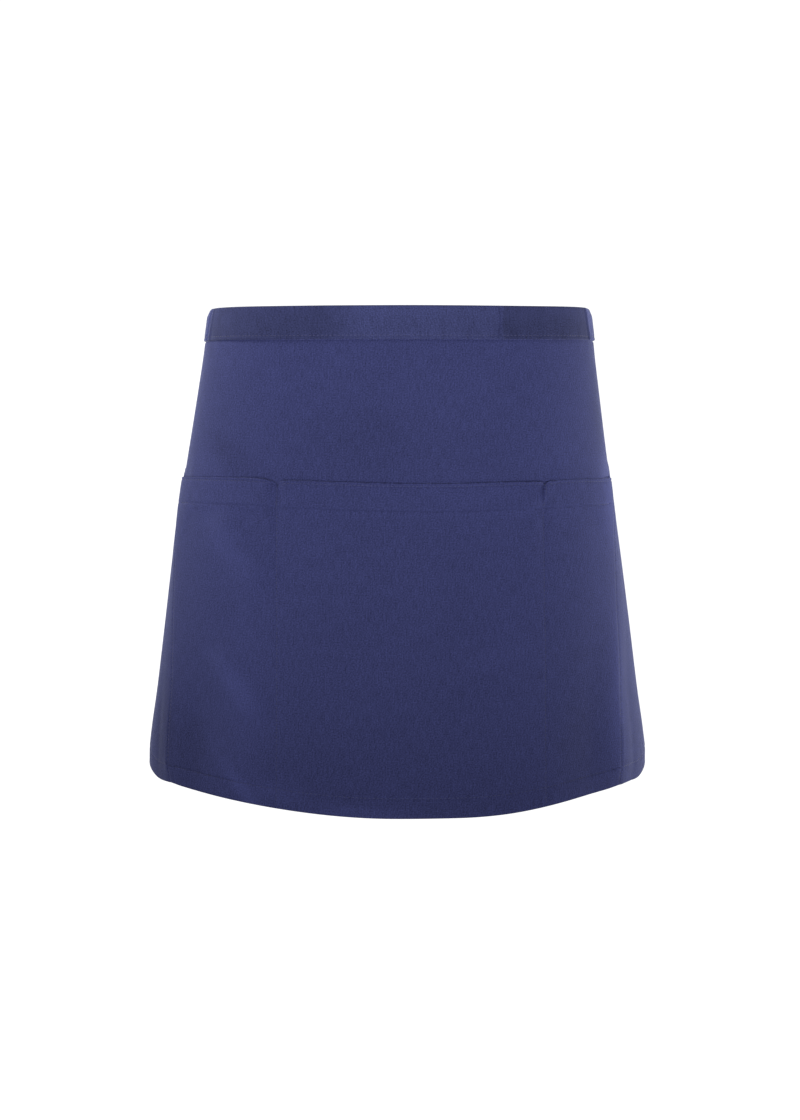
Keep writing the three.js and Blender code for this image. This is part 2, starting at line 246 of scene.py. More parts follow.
class WornForm:
    """The shape that the worn cloth lies on, kept as a table of places and outward directions."""

    STEP = 2.0
    REACH = 380.0
    ABOVE = 10.0
    BELOW = 14.0
    SAMPLES = 1600

    def __init__(self, sizes):
        self.length = sizes.apron_length / MM
        self.band = sizes.band_height / MM
        self.alongs = np.arange(-self.REACH, self.REACH + self.STEP, self.STEP)
        self.drops = np.arange(-self.ABOVE, self.length + self.BELOW + self.STEP, self.STEP)
        points = np.stack([self._ring(drop) for drop in self.drops])
        across = np.gradient(points, axis=1)
        down = np.gradient(points, axis=0)
        self.table = np.concatenate([points, unit(np.cross(down, across))], axis=2)

    def section(self, drop):
        return [smooth_curve(SECTIONS[:, 0], SECTIONS[:, k], drop) for k in range(1, 6)]

    def half_section(self, drop):
        """The right half of a level section, from the front to the back, and the way walked."""
        half_width, front, back, squareness, _ = self.section(drop)
        angle = np.linspace(0, np.pi, self.SAMPLES)
        power = 2 / squareness
        x = half_width * np.abs(np.sin(angle)) ** power
        depth = np.where(angle < np.pi / 2, -front, back)
        y = depth * np.abs(np.cos(angle)) ** power
        walked = np.concatenate([[0], np.cumsum(np.hypot(np.diff(x), np.diff(y)))])
        return x, y, walked

    def half_girth(self, drop):
        return self.half_section(drop)[2][-1]

    def hem_rise(self, along, drop):
        down = np.maximum(drop, 0) / self.length
        side = np.abs(along)
        rising = np.where(along < 0, smoothstep(*HEM_LEFT_SPAN, side), smoothstep(*HEM_RIGHT_SPAN, side))
        swell = smoothstep(*RIGHT_SWELL_GROWS, along) * (1 - smoothstep(*RIGHT_SWELL_FADES, along))
        rise = HEM_RISE * rising + SIDE_RISE * smoothstep(*SIDE_SPAN, side) + RIGHT_SWELL * swell
        for middle, width, most in HEM_DIPS:
            rise = rise - most * hump(along - middle, width)
        hip = np.where(along < 0, HIP_RISE_LEFT, HIP_RISE_RIGHT) * smoothstep(*HIP_SPAN, side)
        return rise * down**2 + hip * (1 - smoothstep(HIP_FADES_BELOW, self.length, drop))

    def _ring(self, drop):
        x, y, walked = self.half_section(drop)
        shift = self.section(drop)[4]
        x = np.concatenate([x, -x[-2::-1]])
        y = np.concatenate([y, y[-2::-1]])
        walked = np.concatenate([walked, 2 * walked[-1] - walked[-2::-1]])
        distance = np.abs(self.alongs)
        ring_x = np.sign(self.alongs) * np.interp(distance, walked, x) + shift
        ring_y = np.interp(distance, walked, y)
        ring_z = self.band / 2 - drop + self.hem_rise(self.alongs, drop)
        return np.stack([ring_x, ring_y, ring_z], axis=1)

    @staticmethod
    def _weights(t):
        """Weights of four neighbours in a row, for a smooth curve through the middle two."""
        return [
            ((-0.5 * t + 1) * t - 0.5) * t,
            (1.5 * t - 2.5) * t * t + 1,
            ((-1.5 * t + 2) * t + 0.5) * t,
            (0.5 * t - 0.5) * t * t,
        ]

    def look_up(self, along, drop):
        """Place on the form and outward direction there."""
        along, drop = (np.asarray(way, float) for way in np.broadcast_arrays(along, drop))
        column = (along - self.alongs[0]) / self.STEP
        row = (drop - self.drops[0]) / self.STEP
        c = np.clip(np.floor(column).astype(int), 1, len(self.alongs) - 3)
        r = np.clip(np.floor(row).astype(int), 1, len(self.drops) - 3)
        wide = self._weights(column - c)
        tall = self._weights(row - r)
        found = 0
        for i in range(4):
            for k in range(4):
                found = found + (tall[i] * wide[k])[..., None] * self.table[r + i - 1, c + k - 1]
        return found[..., :3], unit(found[..., 3:])

    def place(self, along, drop, lift):
        along, drop, lift = np.broadcast_arrays(along, drop, lift)
        point, outward = self.look_up(along, drop)
        return point + outward * lift[..., None]

    def outward(self, along, drop):
        return self.look_up(along, drop)[1]


# How far from a stitch line or a crease its own grid lines lie.
STITCH_LINES = (0, 0.5, 1.0, 1.8)
CREASE_LINES = (0, 0.22, 0.45, 0.8, 1.3, 2.0, 3.0, 4.2)

# Those lines keep this far from the ends, and replace even ones within this share of a step.
END_ROOM = 0.2
CROWDED = 0.4


def ruled(start, stop, step, marks=(), creases=()):
    """Places from start to stop about a step apart, closer beside each mark and closest at creases."""
    places = np.linspace(start, stop, max(1, round((stop - start) / step)) + 1)
    near = [(mark, STITCH_LINES) for mark in marks] + [(crease, CREASE_LINES) for crease in creases]
    close = {round(at + side * off, 3) for at, lines in near for off in lines for side in (-1, 1)}
    close = np.array(sorted(place for place in close if start < place < stop))
    if not len(close):
        return places
    gaps = np.abs(places[:, None] - close[None, :]).min(axis=1)
    gaps[[0, -1]] = step
    close = close[(close - start > END_ROOM) & (stop - close > END_ROOM)]
    return np.sort(np.concatenate([places[gaps > CROWDED * step], close]))


class Lines:
    """Grid lines across one way of a cloth: places, layers (1 is turned to the inside), flat places."""

    TURN_POINTS = 7
    RUN_STEP = 2.4
    TUCK_POINTS = 3

    def __init__(self, places, layers, flat):
        self.places = np.asarray(places, float)
        self.layers = np.asarray(layers, float)
        self.flat = np.asarray(flat, float)

    @classmethod
    def plain(cls, places):
        return cls(places, np.zeros(len(places)), places)

    @classmethod
    def turned(cls, edge, side, gap, depth, tuck, marks=()):
        """A hem turned in at an edge. side is 1 where the places grow towards it, and -1 where they
        shrink. gap is the room between its layers, and tuck its raw edge turned in again. Each mark,
        measured from the hem's inner edge, gets closer lines."""
        radius = gap / 2
        turn = np.linspace(0, np.pi, cls.TURN_POINTS)[1:]
        reach = [-radius + radius * np.sin(turn)]
        layers = [(1 - np.cos(turn)) / 2]
        flat = [-radius + radius * turn]
        run = ruled(radius, depth, cls.RUN_STEP, [depth - mark for mark in marks])[1:]
        reach.append(-run)
        layers.append(np.ones(len(run)))
        flat.append(flat[-1][-1] + run - radius)
        if tuck:
            small = radius / 2
            reach.append(-depth - small * np.sin(turn))
            layers.append(1 - (1 - np.cos(turn)) / 4)
            flat.append(flat[-1][-1] + small * turn)
            back = np.linspace(0, tuck, cls.TUCK_POINTS)[1:]
            reach.append(-depth + back)
            layers.append(np.full(len(back), 0.5))
            flat.append(flat[-1][-1] + back)
        reach = np.concatenate(reach)
        flat = np.concatenate(flat)
        layers = np.concatenate(layers)
        order = slice(None) if side > 0 else slice(None, None, -1)
        return cls((edge + side * reach)[order], layers[order], (edge + side * flat)[order])

    def __add__(self, other):
        return Lines(
            np.concatenate([self.places, other.places]),
            np.concatenate([self.layers, other.layers]),
            np.concatenate([self.flat, other.flat]),
        )


class Apron:
    """The cut and the lie of each piece of cloth, in millimetres."""

    # Cloth that is turned in, and tucked in again, at the edges.
    SIDE_HEM = 12.0
    POCKET_TURN = 8.0
    BAND_TURN = 9.0
    TUCK = 5.0

    # Seams: inside an edge, inside a hem's raw edge, and below the pocket's mouth.
    STITCH_IN = 1.9
    SIDE_SEAM = 1.5
    HEM_SEAM = 0.6
    POCKET_HEM_SEAM = 0.9
    MOUTH_SEAM = 1.75

    # The waistband's foot lies a little above its full height, and presses a line into the panel. Its
    # fold is pressed a little flatter than its layers.
    FOOT_ABOVE = 0.9
    LINE_BELOW = 0.6
    FOLD_PRESSED = 0.1

    BOTTOM_PILE = 2.1
    PANEL_TOP = 2.6
    INTO_KNOT = 5.0
    KNOT_BEHIND = 3.4

    # Below the waistband the panel comes free over this distance, and puckers from just under it.
    BAND_HOLD = 17
    PUCKER_BELOW = 1

    # Its sides hang loose from this far round and this far down, in one wave (height, length, start)
    # and a slanting one (height, length down, length round).
    LOOSE_FROM = 205
    LOOSE_BELOW = 40
    FLUTTER = (2.2, 17, 0.9)
    SLANT = (1.2, 41, 60)

    # Low down at the sides it swells, and its edge rolls in: rise, span round the form, reach.
    SIDE_SWELL = (0.7, (110, 160), 22)
    EDGE_ROLL = (0.7, (105, 150), 18)

    # Beside the pocket the panel swells up: rise, reach, span across the pocket's edge. Above the
    # mouth it does so only near the ends.
    BESIDE = (0.9, 16, (-0.4, 0.6))
    ABOVE_LEFT = (-100, -112)
    ABOVE_RIGHT = (94, 104)
    ABOVE_ENDS = (152, 138)

    # Under the pocket's turned sides it gives way: how far, span across the edge, reach inside.
    GIVE = (0.5, (-4, 4), 16)

    # The pocket's lower corners ride up (how far, reach), and its mouth's sag and dips fade out below.
    CORNER_LIFT = (0.45, 14)
    SAG_REACH = 60
    DIP_REACH = 3.5

    # The gape's arch over each compartment, and its rise and fall beside the stitch lines.
    ARCH_POWER = 0.6
    ARCH_LEAST = 1e-6
    GAPE_ENDS = (7, 26)

    # How the pile of the pocket's turned sides fades out: span. How its hem's does: least, and more of
    # it beside the sides, over a span. It begins just above the hem's edge.
    SIDE_FADE = (2, 26)
    HEM_FADE = (2.0, 30, (8, 30))
    HEM_EDGE = 0.5

    # Above the bar tacks the compartments part: span of rows, rise and reach of the right lips, and
    # depth of the left and the right slit.
    OPEN_SPAN = (11.5, 13.5)
    LIPS = (0.9, 5)
    SLITS = (0.25, 2.0)

    # The hem's seam is drawn in more at the sides: least, more, span.
    HEM_DRAWN = (0.28, 0.3, (75, 125))

    # The waistband's ring of cloth: tucked length, spacing of its lines, points of its turns.
    RING_TUCK = 8.0
    RING_STEP = 1.9
    RING_TURN = 6
    RING_FOLD = 9
    RING_TUCK_POINTS = 4

    # A place is on one of the waistband's outer layers from this lift.
    OUTER_FROM = 0.6

    # Behind the panel the strip is pressed flatter (reach, share), then gathered towards the knot
    # (reach, height there) in pleats (height, number).
    CLOSING = (20, 0.42)
    GATHER = (40, 13.0)
    PLEATS = (0.9, 2.5)

    # The waistband's seam puckers below its top edge: height, seed, free height. Its face waves
    # a little: height, length, start.
    BAND_PUCKER = (0.13, 8, 2)
    BAND_WAVES = [(0.1, 8.5, 1), (0.12, 19.0, 0)]

    # The join wavers: height, length, start, shift. It is a groove (depth, width) with a ridge beyond
    # it (rise, place, width, edge) and a soft step (rise, edge, width), and all of it fades out.
    JOIN_WAVE = (0.55, 24, 2, 0.2)
    JOIN_RIDGE = (0.32, 1.7, 1.6, 0.8)
    JOIN_STEP = (0.15, 1, 14)
    JOIN_GROOVE = (0.6, 0.45)
    JOIN_SPAN = (6, 18)

    def __init__(self, sizes):
        self.form = WornForm(sizes)
        self.length = sizes.apron_length / MM
        self.half = sizes.panel_width / MM / 2
        self.band = sizes.band_height / MM
        self.hem = sizes.bottom_hem / MM
        self.left = sizes.pocket_left / MM
        self.right = sizes.pocket_right / MM
        self.dividers = (sizes.divider_left / MM, sizes.divider_right / MM)
        self.pocket_drop = sizes.pocket_drop / MM
        self.pocket_hem = sizes.pocket_hem / MM
        self.seam = sizes.join_seam / MM
        self.cloth = sizes.cloth / MM
        self.depth = self.length - self.pocket_drop
        self.band_foot = self.band - self.FOOT_ABOVE
        self.band_line = self.band_foot + self.LINE_BELOW
        self.band_fold = 2 * LAYER - self.FOLD_PRESSED
        self.side_stitch = self.half - self.SIDE_HEM + self.SIDE_SEAM
        self.hem_stitch = self.length - self.hem + self.HEM_SEAM
        self.pocket_hem_stitch = self.pocket_hem - self.POCKET_HEM_SEAM
        knot_low, knot_high = (corner / MM for corner in map(np.array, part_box("tie_knot")))
        self.knot_centre = (knot_low + knot_high) / 2
        self.knot_size = knot_high - knot_low
        self.tie_reach = self.form.half_girth(self.band / 2) - self.knot_size[0] / 2 + self.INTO_KNOT

    def folds(self, along, drop):
        """Soft hollows, swells and diagonal folds of the worn cloth."""
        rise = 0
        for at_along, at_drop, width, height, amount in DENTS:
            rise = rise + amount * hump(along - at_along, width) * hump(drop - at_drop, height)
        for from_along, from_drop, to_along, to_drop, above, below, amount in FOLDS:
            run = np.array([to_along - from_along, to_drop - from_drop], float)
            long = np.hypot(*run)
            run = run / long
            ahead = (along - from_along) * run[0] + (drop - from_drop) * run[1]
            beside = (along - from_along) * -run[1] + (drop - from_drop) * run[0]
            ends = smoothstep(-above, above, ahead) * smoothstep(long + above, long - above, ahead)
            rise = rise + amount * ends * hump(beside, np.where(beside < 0, above, below))
        return rise

    def flutter(self, along, drop):
        """Slack waves in the panel's loose sides."""
        tall, long, start = self.FLUTTER
        slant, deep, wide = self.SLANT
        round_it = smoothstep(self.LOOSE_FROM, self.half, np.abs(along))
        loose = round_it * smoothstep(self.LOOSE_BELOW, self.length, drop)
        return loose * (tall * np.sin(along / long + start) + slant * np.sin(drop / deep + along / wide))

    def panel_lie(self, along, drop):
        """Lift of the panel's front layer before its stitches draw it in."""
        side = np.abs(along)
        away = smoothstep(self.band, self.band + self.BAND_HOLD, drop)
        rise, span, reach = self.SIDE_SWELL
        swell = rise * smoothstep(*span, side) * hump(drop - self.length + reach, reach)
        swell = swell + self.edge_ridge(along, drop)
        rise, span, reach = self.EDGE_ROLL
        roll = rise * smoothstep(*span, side) * smoothstep(self.length - reach, self.length, drop) ** 2
        seams = pucker("hem", along, drop - self.hem_stitch)
        seams = seams + pucker("band", along, drop - self.band - self.PUCKER_BELOW)
        relief_effects = away * self.folds(along, drop) + self.flutter(along, drop)
        return PANEL_LIFT + relief_effects + swell - roll + seams

    def edge_ridge(self, along, drop):
        """Low down, the stiff pocket holds the cloth out along its two side edges."""
        left, right = self.edges(drop)
        crest = right - CREST_INSIDE * smoothstep(*CREST_SPAN, drop)
        foot = smoothstep(self.length - RIDGE_FOOT, self.length, drop)
        rise = 0
        for beyond, ridge in ((left - along, RIDGE_LEFT), (along - crest, RIDGE_RIGHT)):
            inner, outer, most, span, lost = ridge
            slope = np.interp(beyond, [-inner, 0, outer], [0, most, 0])
            rise = rise + slope * smoothstep(*span, drop) * (1 - lost * foot)
        return rise

    def lean(self, along, drop):
        """How far the cloth's grid lines run sideways, to follow the pocket's side edges."""
        share = np.clip((drop - self.pocket_drop) / self.depth, 0, 1)
        first, last = self.dividers
        at_left = np.interp(along, [self.left - LEAN_REACH, self.left, first], [0, 1, 0])
        at_right = np.interp(along, [last, self.right, self.right + LEAN_REACH], [0, 1, 0])
        left = LEAN_LEFT[0] + (LEAN_LEFT[1] - LEAN_LEFT[0]) * share
        right = LEAN_RIGHT[0] + (LEAN_RIGHT[1] - LEAN_RIGHT[0]) * share
        return at_left * left + at_right * right

    def edges(self, drop):
        """Alongs of the pocket's two side edges."""
        return self.left + self.lean(self.left, drop), self.right + self.lean(self.right, drop)

    def panel_only(self, along, drop):
        """The panel swells up beside the pocket's outer edges, and gives way under its turned sides."""
        above = self.mouth(along) - drop
        left, right = self.edges(drop)
        beyond = np.maximum(left - along, along - right)
        gap = np.maximum(above, beyond)
        rise, reach, across = self.BESIDE
        swell = rise * np.clip(1 - gap / reach, 0, 1) * smoothstep(*across, gap)
        ends = np.maximum(smoothstep(*self.ABOVE_RIGHT, along), smoothstep(*self.ABOVE_LEFT, along))
        ends = np.where(above > beyond, ends * smoothstep(*self.ABOVE_ENDS, np.abs(along)), 1)
        most, across, inner = self.GIVE
        give = smoothstep(*across, -gap) * (1 - smoothstep(self.POCKET_TURN, inner, -beyond))
        return swell * ends - most * give * self.hem_zone(along, -above)

    def panel_groove(self, along, drop):
        grooves = [
            groove("hem", drop - self.hem_stitch),
            groove("side", np.abs(along) - self.side_stitch),
            groove("band_line", drop - self.band_line),
        ]
        return reduce(np.maximum, grooves)

    def mouth(self, along):
        """Drop of the pocket's mouth: its sag, and how far it is drawn down at the stitch lines."""
        first, last = self.dividers
        parts = (MOUTH_LEFT, MOUTH_MIDDLE, MOUTH_RIGHT)
        left, middle, right = (smooth_curve(*zip(*part), along) for part in parts)
        return np.where(along < first, left, np.where(along < last, middle, right))

    def mouth_far(self, along):
        """The mouth's sag without the sharp dips at the stitch lines."""
        return smooth_curve(*zip(*MOUTH_CLEAR), along)

    def inside(self, along):
        """How far a place lies inside the pocket's nearer side edge."""
        return np.minimum(along - self.left, self.right - along)

    def pocket_place(self, along, row):
        """Drop of a place on the pocket, row millimetres below its mouth."""
        sag = self.mouth_far(along) - self.pocket_drop
        dip = self.mouth(along) - self.mouth_far(along)
        down = np.maximum(row, 0)
        fade = 1 - smoothstep(0, self.depth, down)
        most, reach = self.CORNER_LIFT
        low = smoothstep(self.depth - reach, self.depth, down)
        corner = smoothstep(reach, 0, self.inside(along)) * low
        sag = sag * np.exp(-down / self.SAG_REACH) * fade
        dip = dip * np.exp(-down / self.DIP_REACH)
        return self.pocket_drop + row - most * corner + sag + dip

    def gape(self, along):
        """How far the pocket's mouth stands off the panel."""
        ends = (self.left, *self.dividers, self.right)
        rising, falling = self.GAPE_ENDS
        total = 0
        for (middle, from_end, to_end), start, stop in zip(GAPES, ends, ends[1:]):
            share = np.clip((along - start) / (stop - start), 0, 1)
            arch = np.sin(np.pi * share)
            bulge = middle * arch**self.ARCH_POWER
            for amount, distance in ((from_end, along - start), (to_end, stop - along)):
                near = np.clip(distance, 0, None)
                bulge = bulge + amount * smoothstep(0, rising, near) * np.exp(-near / falling)
            within = (along >= start) & (along <= stop)
            total = np.where(within, bulge * (arch > self.ARCH_LEAST), total)
        return total

    def side_zone(self, along):
        """The pile of the pocket's turned sides."""
        return 1 - smoothstep(*self.SIDE_FADE, self.inside(along))

    def hem_zone(self, along, row):
        """The hem's pile, which fades out more slowly beside the pocket's side edges."""
        least, more, span = self.HEM_FADE
        fade = least + more * (1 - smoothstep(*span, self.inside(along)))
        return 1 - smoothstep(self.pocket_hem - self.HEM_EDGE, self.pocket_hem + fade, row)

    def pocket_lie(self, along, row):
        """Lift of the pocket's outer layer before its stitches draw it in."""
        drop = self.pocket_place(along, row)
        pile = LAYER + HEM_LAYER * self.hem_zone(along, row) + TURN_LAYER * self.side_zone(along)
        settle = np.exp(-np.maximum(row, 0) / GAPE_REACH) * (1 - np.clip(row / self.depth, 0, 1))
        seams = pucker("pocket_hem", along, row - self.pocket_hem_stitch) + pucker("mouth", along, row)
        for seam, divider in zip(("left_divider", "right_divider"), self.dividers):
            seams = seams + pucker(seam, drop, along - divider)
        rise, reach = self.LIPS
        lips = rise * self.open_part(row) * hump(along - self.dividers[1], reach)
        under = self.panel_lie(along + self.lean(along, drop), drop)
        return under + pile + self.gape(along) * settle + seams + lips

    def open_part(self, row):
        """Where the compartments still part above the stitch lines' bar tacks."""
        return 1 - smoothstep(*self.OPEN_SPAN, row)

    def pocket_groove(self, along, row):
        drop = self.pocket_place(along, row)
        least, more, span = self.HEM_DRAWN
        drawn = least + more * smoothstep(*span, np.abs(along))
        grooves = [
            groove("mouth", row - self.MOUTH_SEAM),
            groove("pocket_hem", row - self.pocket_hem_stitch),
            drawn * groove("pocket_foot", drop - self.hem_stitch),
            groove("pocket_side", self.inside(along) - self.STITCH_IN),
        ]
        for divider, slit in zip(self.dividers, self.SLITS):
            grooves.append(groove("divider", along - divider))
            grooves.append(slit * self.open_part(row) * groove("slit", along - divider))
        return reduce(np.maximum, grooves)

    def seam_place(self, drop):
        """Along of the join in the waistband, a slightly wavering line."""
        tall, long, start, shift = self.JOIN_WAVE
        return self.seam + tall * np.sin(2 * np.pi * (drop - start) / long) - shift

    def band_ring(self):
        """The waistband's strip from one turned-in edge over the top fold to the other: drop, lift
        from the panel's middle, and flat distance."""
        low = self.band_foot
        fold = self.band_fold
        small = TURN_LAYER / 2
        turn = np.linspace(0, np.pi, self.RING_TURN)
        over = np.linspace(0, np.pi, self.RING_FOLD)[1:-1]
        rise = ruled(fold, low - small, self.RING_STEP, [low - self.STITCH_IN])
        tucked = np.linspace(low - self.RING_TUCK, low - small, self.RING_TUCK_POINTS)[:-1]
        front = fold - TURN_LAYER
        drop = np.concatenate([tucked, low - small + small * np.sin(turn), rise[::-1][1:]])
        lift = np.concatenate(
            [
                np.full(len(tucked), front),
                front + small * (1 - np.cos(turn)),
                np.full(len(rise) - 1, fold),
            ]
        )
        top = fold - fold * np.sin(over)
        drop = np.concatenate([drop, top, drop[::-1]])
        lift = np.concatenate([lift, fold * np.cos(over), -lift[::-1]])
        steps = np.hypot(np.diff(drop), np.diff(lift))
        return drop, lift, np.concatenate([[0], np.cumsum(steps)])

    def tie_along(self, along, drop):
        """The form widens downwards, so a tie's lower edge runs further to reach the same place."""
        girths = [self.form.half_girth(at) for at in (0, self.band)]
        wider = np.interp(drop, [0, self.band], girths)
        share = smoothstep(self.half, self.tie_reach, np.abs(along))
        return along * (1 + (wider / self.form.half_girth(self.band / 2) - 1) * share)

    def band_crease(self, along, drop, lift):
        """The creases at the hips, where the top edge also leans in a little."""
        side = np.abs(along)
        rise = 0
        for top, foot, width, amount in BAND_CREASES:
            rise = rise + amount * hump(along - top - (foot - top) * drop / self.band, width)
        corner = np.where(along < 0, *BAND_CORNERS) * smoothstep(*CORNER_SPAN, side)
        fading = 1 - smoothstep(self.half - CORNER_FADE, self.half, side)
        leaning = corner * fading * (1 - smoothstep(0, CORNER_HEIGHT, drop))
        return rise * (lift > self.OUTER_FROM) - leaning

    def join(self, along, drop):
        """The seam that joins the waistband's two strips, pressed to the right."""
        past = along - self.seam_place(drop)
        rise, middle, width, edge = self.JOIN_RIDGE
        ridge = rise * hump(past - middle, width) * smoothstep(0, edge, past)
        rise, edge, width = self.JOIN_STEP
        ridge = ridge + rise * smoothstep(0, edge, past) * hump(past, width)
        deep, width = self.JOIN_GROOVE
        return (ridge - deep * hump(past, width)) * (1 - smoothstep(*self.JOIN_SPAN, np.abs(past)))

    def band_lie(self, along, drop, lift):
        """Place on the waistband or on the tie it runs into, for a place on its ring."""
        beyond = np.abs(along)
        reach, pressed = self.CLOSING
        closing = smoothstep(self.half, self.half + reach, beyond)
        reach, narrow = self.GATHER
        gather = smoothstep(self.tie_reach - reach, self.tie_reach, beyond)
        height = self.band + (narrow - self.band) * gather
        fitted = (drop - self.band / 2) * height / self.band + self.band / 2
        lift = lift * (1 - pressed * closing)
        drawn = groove("waistband", drop - self.band_foot + self.STITCH_IN)
        lift = lift - np.sign(lift) * drawn * (np.abs(lift) > self.OUTER_FROM)
        tall, waves = self.PLEATS
        pleat = gather * tall * np.sin(2 * np.pi * drop / self.band * waves + np.sign(along))
        tall, seed, free = self.BAND_PUCKER
        uneven = tall * ripple(along, seed) * smoothstep(free, self.band, drop)
        for tall, long, start in self.BAND_WAVES:
            uneven = uneven + tall * np.sin(along / long + start)
        join = self.join(along, drop) * (lift > self.OUTER_FROM)
        folded = pleat + uneven + join + self.band_crease(along, drop, lift)
        folded = folded + self.KNOT_BEHIND * gather
        return self.tie_along(along, fitted), fitted, PANEL_LIFT + lift + folded


# Faces that meet at less than these angles are shaded as one smooth face.
CLOTH_ANGLE = math.radians(55)
KNOT_ANGLE = math.radians(70)
THREAD_ANGLE = math.radians(60)


def deselect():
    if bpy.context.mode != "OBJECT":
        bpy.ops.object.mode_set(mode="OBJECT")
    bpy.ops.object.select_all(action="DESELECT")


def select_only(piece):
    deselect()
    bpy.context.view_layer.objects.active = piece
    piece.select_set(True)


def face_outward(angle):
    """Turn the active piece's faces outward and shade them."""
    bpy.ops.object.mode_set(mode="EDIT")
    bpy.ops.mesh.select_all(action="SELECT")
    bpy.ops.mesh.normals_make_consistent(inside=False)
    bpy.ops.object.mode_set(mode="OBJECT")
    bpy.ops.object.shade_smooth_by_angle(angle=angle)


def new_piece(name):
    """Name the piece that was just added."""
    piece = bpy.context.object
    piece.name = name
    piece.data.name = name
    return piece


def places_of(mesh):
    places = np.empty(len(mesh.vertices) * 3)
    mesh.vertices.foreach_get("co", places)
    return places.reshape(-1, 3)


def lay(mesh, points, flat):
    """Move each vertex to its point, and give it its place on the flat cloth as texture coordinates."""
    mesh.vertices.foreach_set("co", (points * MM).ravel())
    corners = np.empty(len(mesh.loops), dtype=np.int32)
    mesh.loops.foreach_get("vertex_index", corners)
    mesh.uv_layers.active.data.foreach_set("uv", (flat[corners] * UV_PER_MM).ravel())
    mesh.update()


def cloth_grid(name, points, flat, thickness):
    """A cloth with a vertex for each row and column of points, given its thickness."""
    rows, columns = points.shape[:2]
    deselect()
    bpy.ops.mesh.primitive_grid_add(x_subdivisions=columns - 1, y_subdivisions=rows - 1, size=2)
    piece = new_piece(name)
    start = places_of(piece.data)
    if len(start) != rows * columns:
        raise RuntimeError(f"{name}: the grid has {len(start)} vertices, not {rows * columns}")
    column = np.rint((start[:, 0] + 1) / 2 * (columns - 1)).astype(int)
    row = np.rint((1 - start[:, 1]) / 2 * (rows - 1)).astype(int)
    lay(piece.data, points[row, column], flat[row, column])
    thicken(piece, thickness)
    return piece


def thicken(piece, thickness):
    select_only(piece)
    wall = piece.modifiers.new("cloth", "SOLIDIFY")
    wall.thickness = thickness * MM
    wall.offset = 0
    bpy.ops.object.modifier_apply(modifier=wall.name)
    bpy.ops.object.shade_smooth_by_angle(angle=CLOTH_ANGLE)


def finish_piece(piece, material, slot, *nodes):
    piece.data.materials.clear()
    piece.data.materials.append(material)
    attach(piece, "root")
    if nodes:
        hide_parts(*nodes)
    return piece


class Value:
    """A value on its way between shader nodes. Sums on it add Math nodes."""

    def __init__(self, finish, socket):
        self.finish = finish
        self.socket = socket

    def maths(self, operation, *terms):
        return self.finish.node("ShaderNodeMath", {"operation": operation}, dict(enumerate(terms)))

    def __add__(self, other):
        return self.maths("ADD", self, other)

    def __radd__(self, other):
        return self.maths("ADD", other, self)

    def __sub__(self, other):
        return self.maths("SUBTRACT", self, other)

    def __rsub__(self, other):
        return self.maths("SUBTRACT", other, self)

    def __mul__(self, other):
        return self.maths("MULTIPLY", self, other)

    def __rmul__(self, other):
        return self.maths("MULTIPLY", other, self)

    def __truediv__(self, other):
        return self.maths("DIVIDE", self, other)

    def __rtruediv__(self, other):
        return self.maths("DIVIDE", other, self)

    def sine(self):
        return self.maths("SINE", self)

    def size(self):
        return self.maths("ABSOLUTE", self)


class Finish:
    """A material whose nodes are added one by one."""

    def __init__(self, name):
        self.material = bpy.data.materials.new(name)
        self.material.use_nodes = True
        self.tree = self.material.node_tree
        self.surface = self.tree.nodes["Principled BSDF"]

    def node(self, kind, settings=None, inputs=None, output=0):
        made = self.tree.nodes.new(kind)
        for key, value in (settings or {}).items():
            setattr(made, key, value)
        for key, value in (inputs or {}).items():
            self.feed(made.inputs[key], value)
        return Value(self, made.outputs[output])

    def feed(self, socket, value):
        if isinstance(value, Value):
            self.tree.links.new(value.socket, socket)
        else:
            socket.default_value = value

    def set(self, name, value):
        self.feed(self.surface.inputs[name], value)

    def whole(self):
        return Value(self, self.surface.outputs[0])

    def finish_with(self, shader):
        self.feed(self.tree.nodes["Material Output"].inputs["Surface"], shader)

    def noise(self, place, across, down):
        """A noise that changes over `across` and `down` millimetres of cloth."""
        scale = (1 / (UV_PER_MM * across), 1 / (UV_PER_MM * down), 1)
        spread = self.node("ShaderNodeMapping", None, {"Vector": place, "Scale": scale})
        return self.node("ShaderNodeTexNoise", None, {"Vector": spread, "Scale": 1.0, "Detail": 1.0})

    def blend(self, factor, first, second):
        return self.node("ShaderNodeMix", {"data_type": "RGBA"}, {0: factor, 6: first, 7: second}, 2)

    def dyed(self, shade, colour):
        """Cloth of one colour, from its darkest to its palest."""
        return self.blend(shade, shaded(colour, DARKEST), shaded(colour, PALEST))

    def step(self, value, start, stop):
        settings = {"interpolation_type": "SMOOTHSTEP", "clamp": True}
        return self.node("ShaderNodeMapRange", settings, {0: value, 1: start, 2: stop, 3: 0.0, 4: 1.0})


# The twill's diagonal wales and upright yarns: spacing, and how far the wales lean and how they show.
WALE = 1.9
WALE_LEAN = 0.5
WALE_TONE = 0.035
YARN = 0.42

# Unevenness of the cloth: reach across, reach down, strength. The mottle's strength is its piece's own.
STREAK = (0.8, 7.5, 0.5)
GRAIN = (0.78, 0.85, 1.3)
CLOUD = (46, 60, 0.12)
MOTTLE = (9, 9)
PANEL_MOTTLE = 0.09
BAND_MOTTLE = 0.2
DARKEST = 0.4
PALEST = 1.6
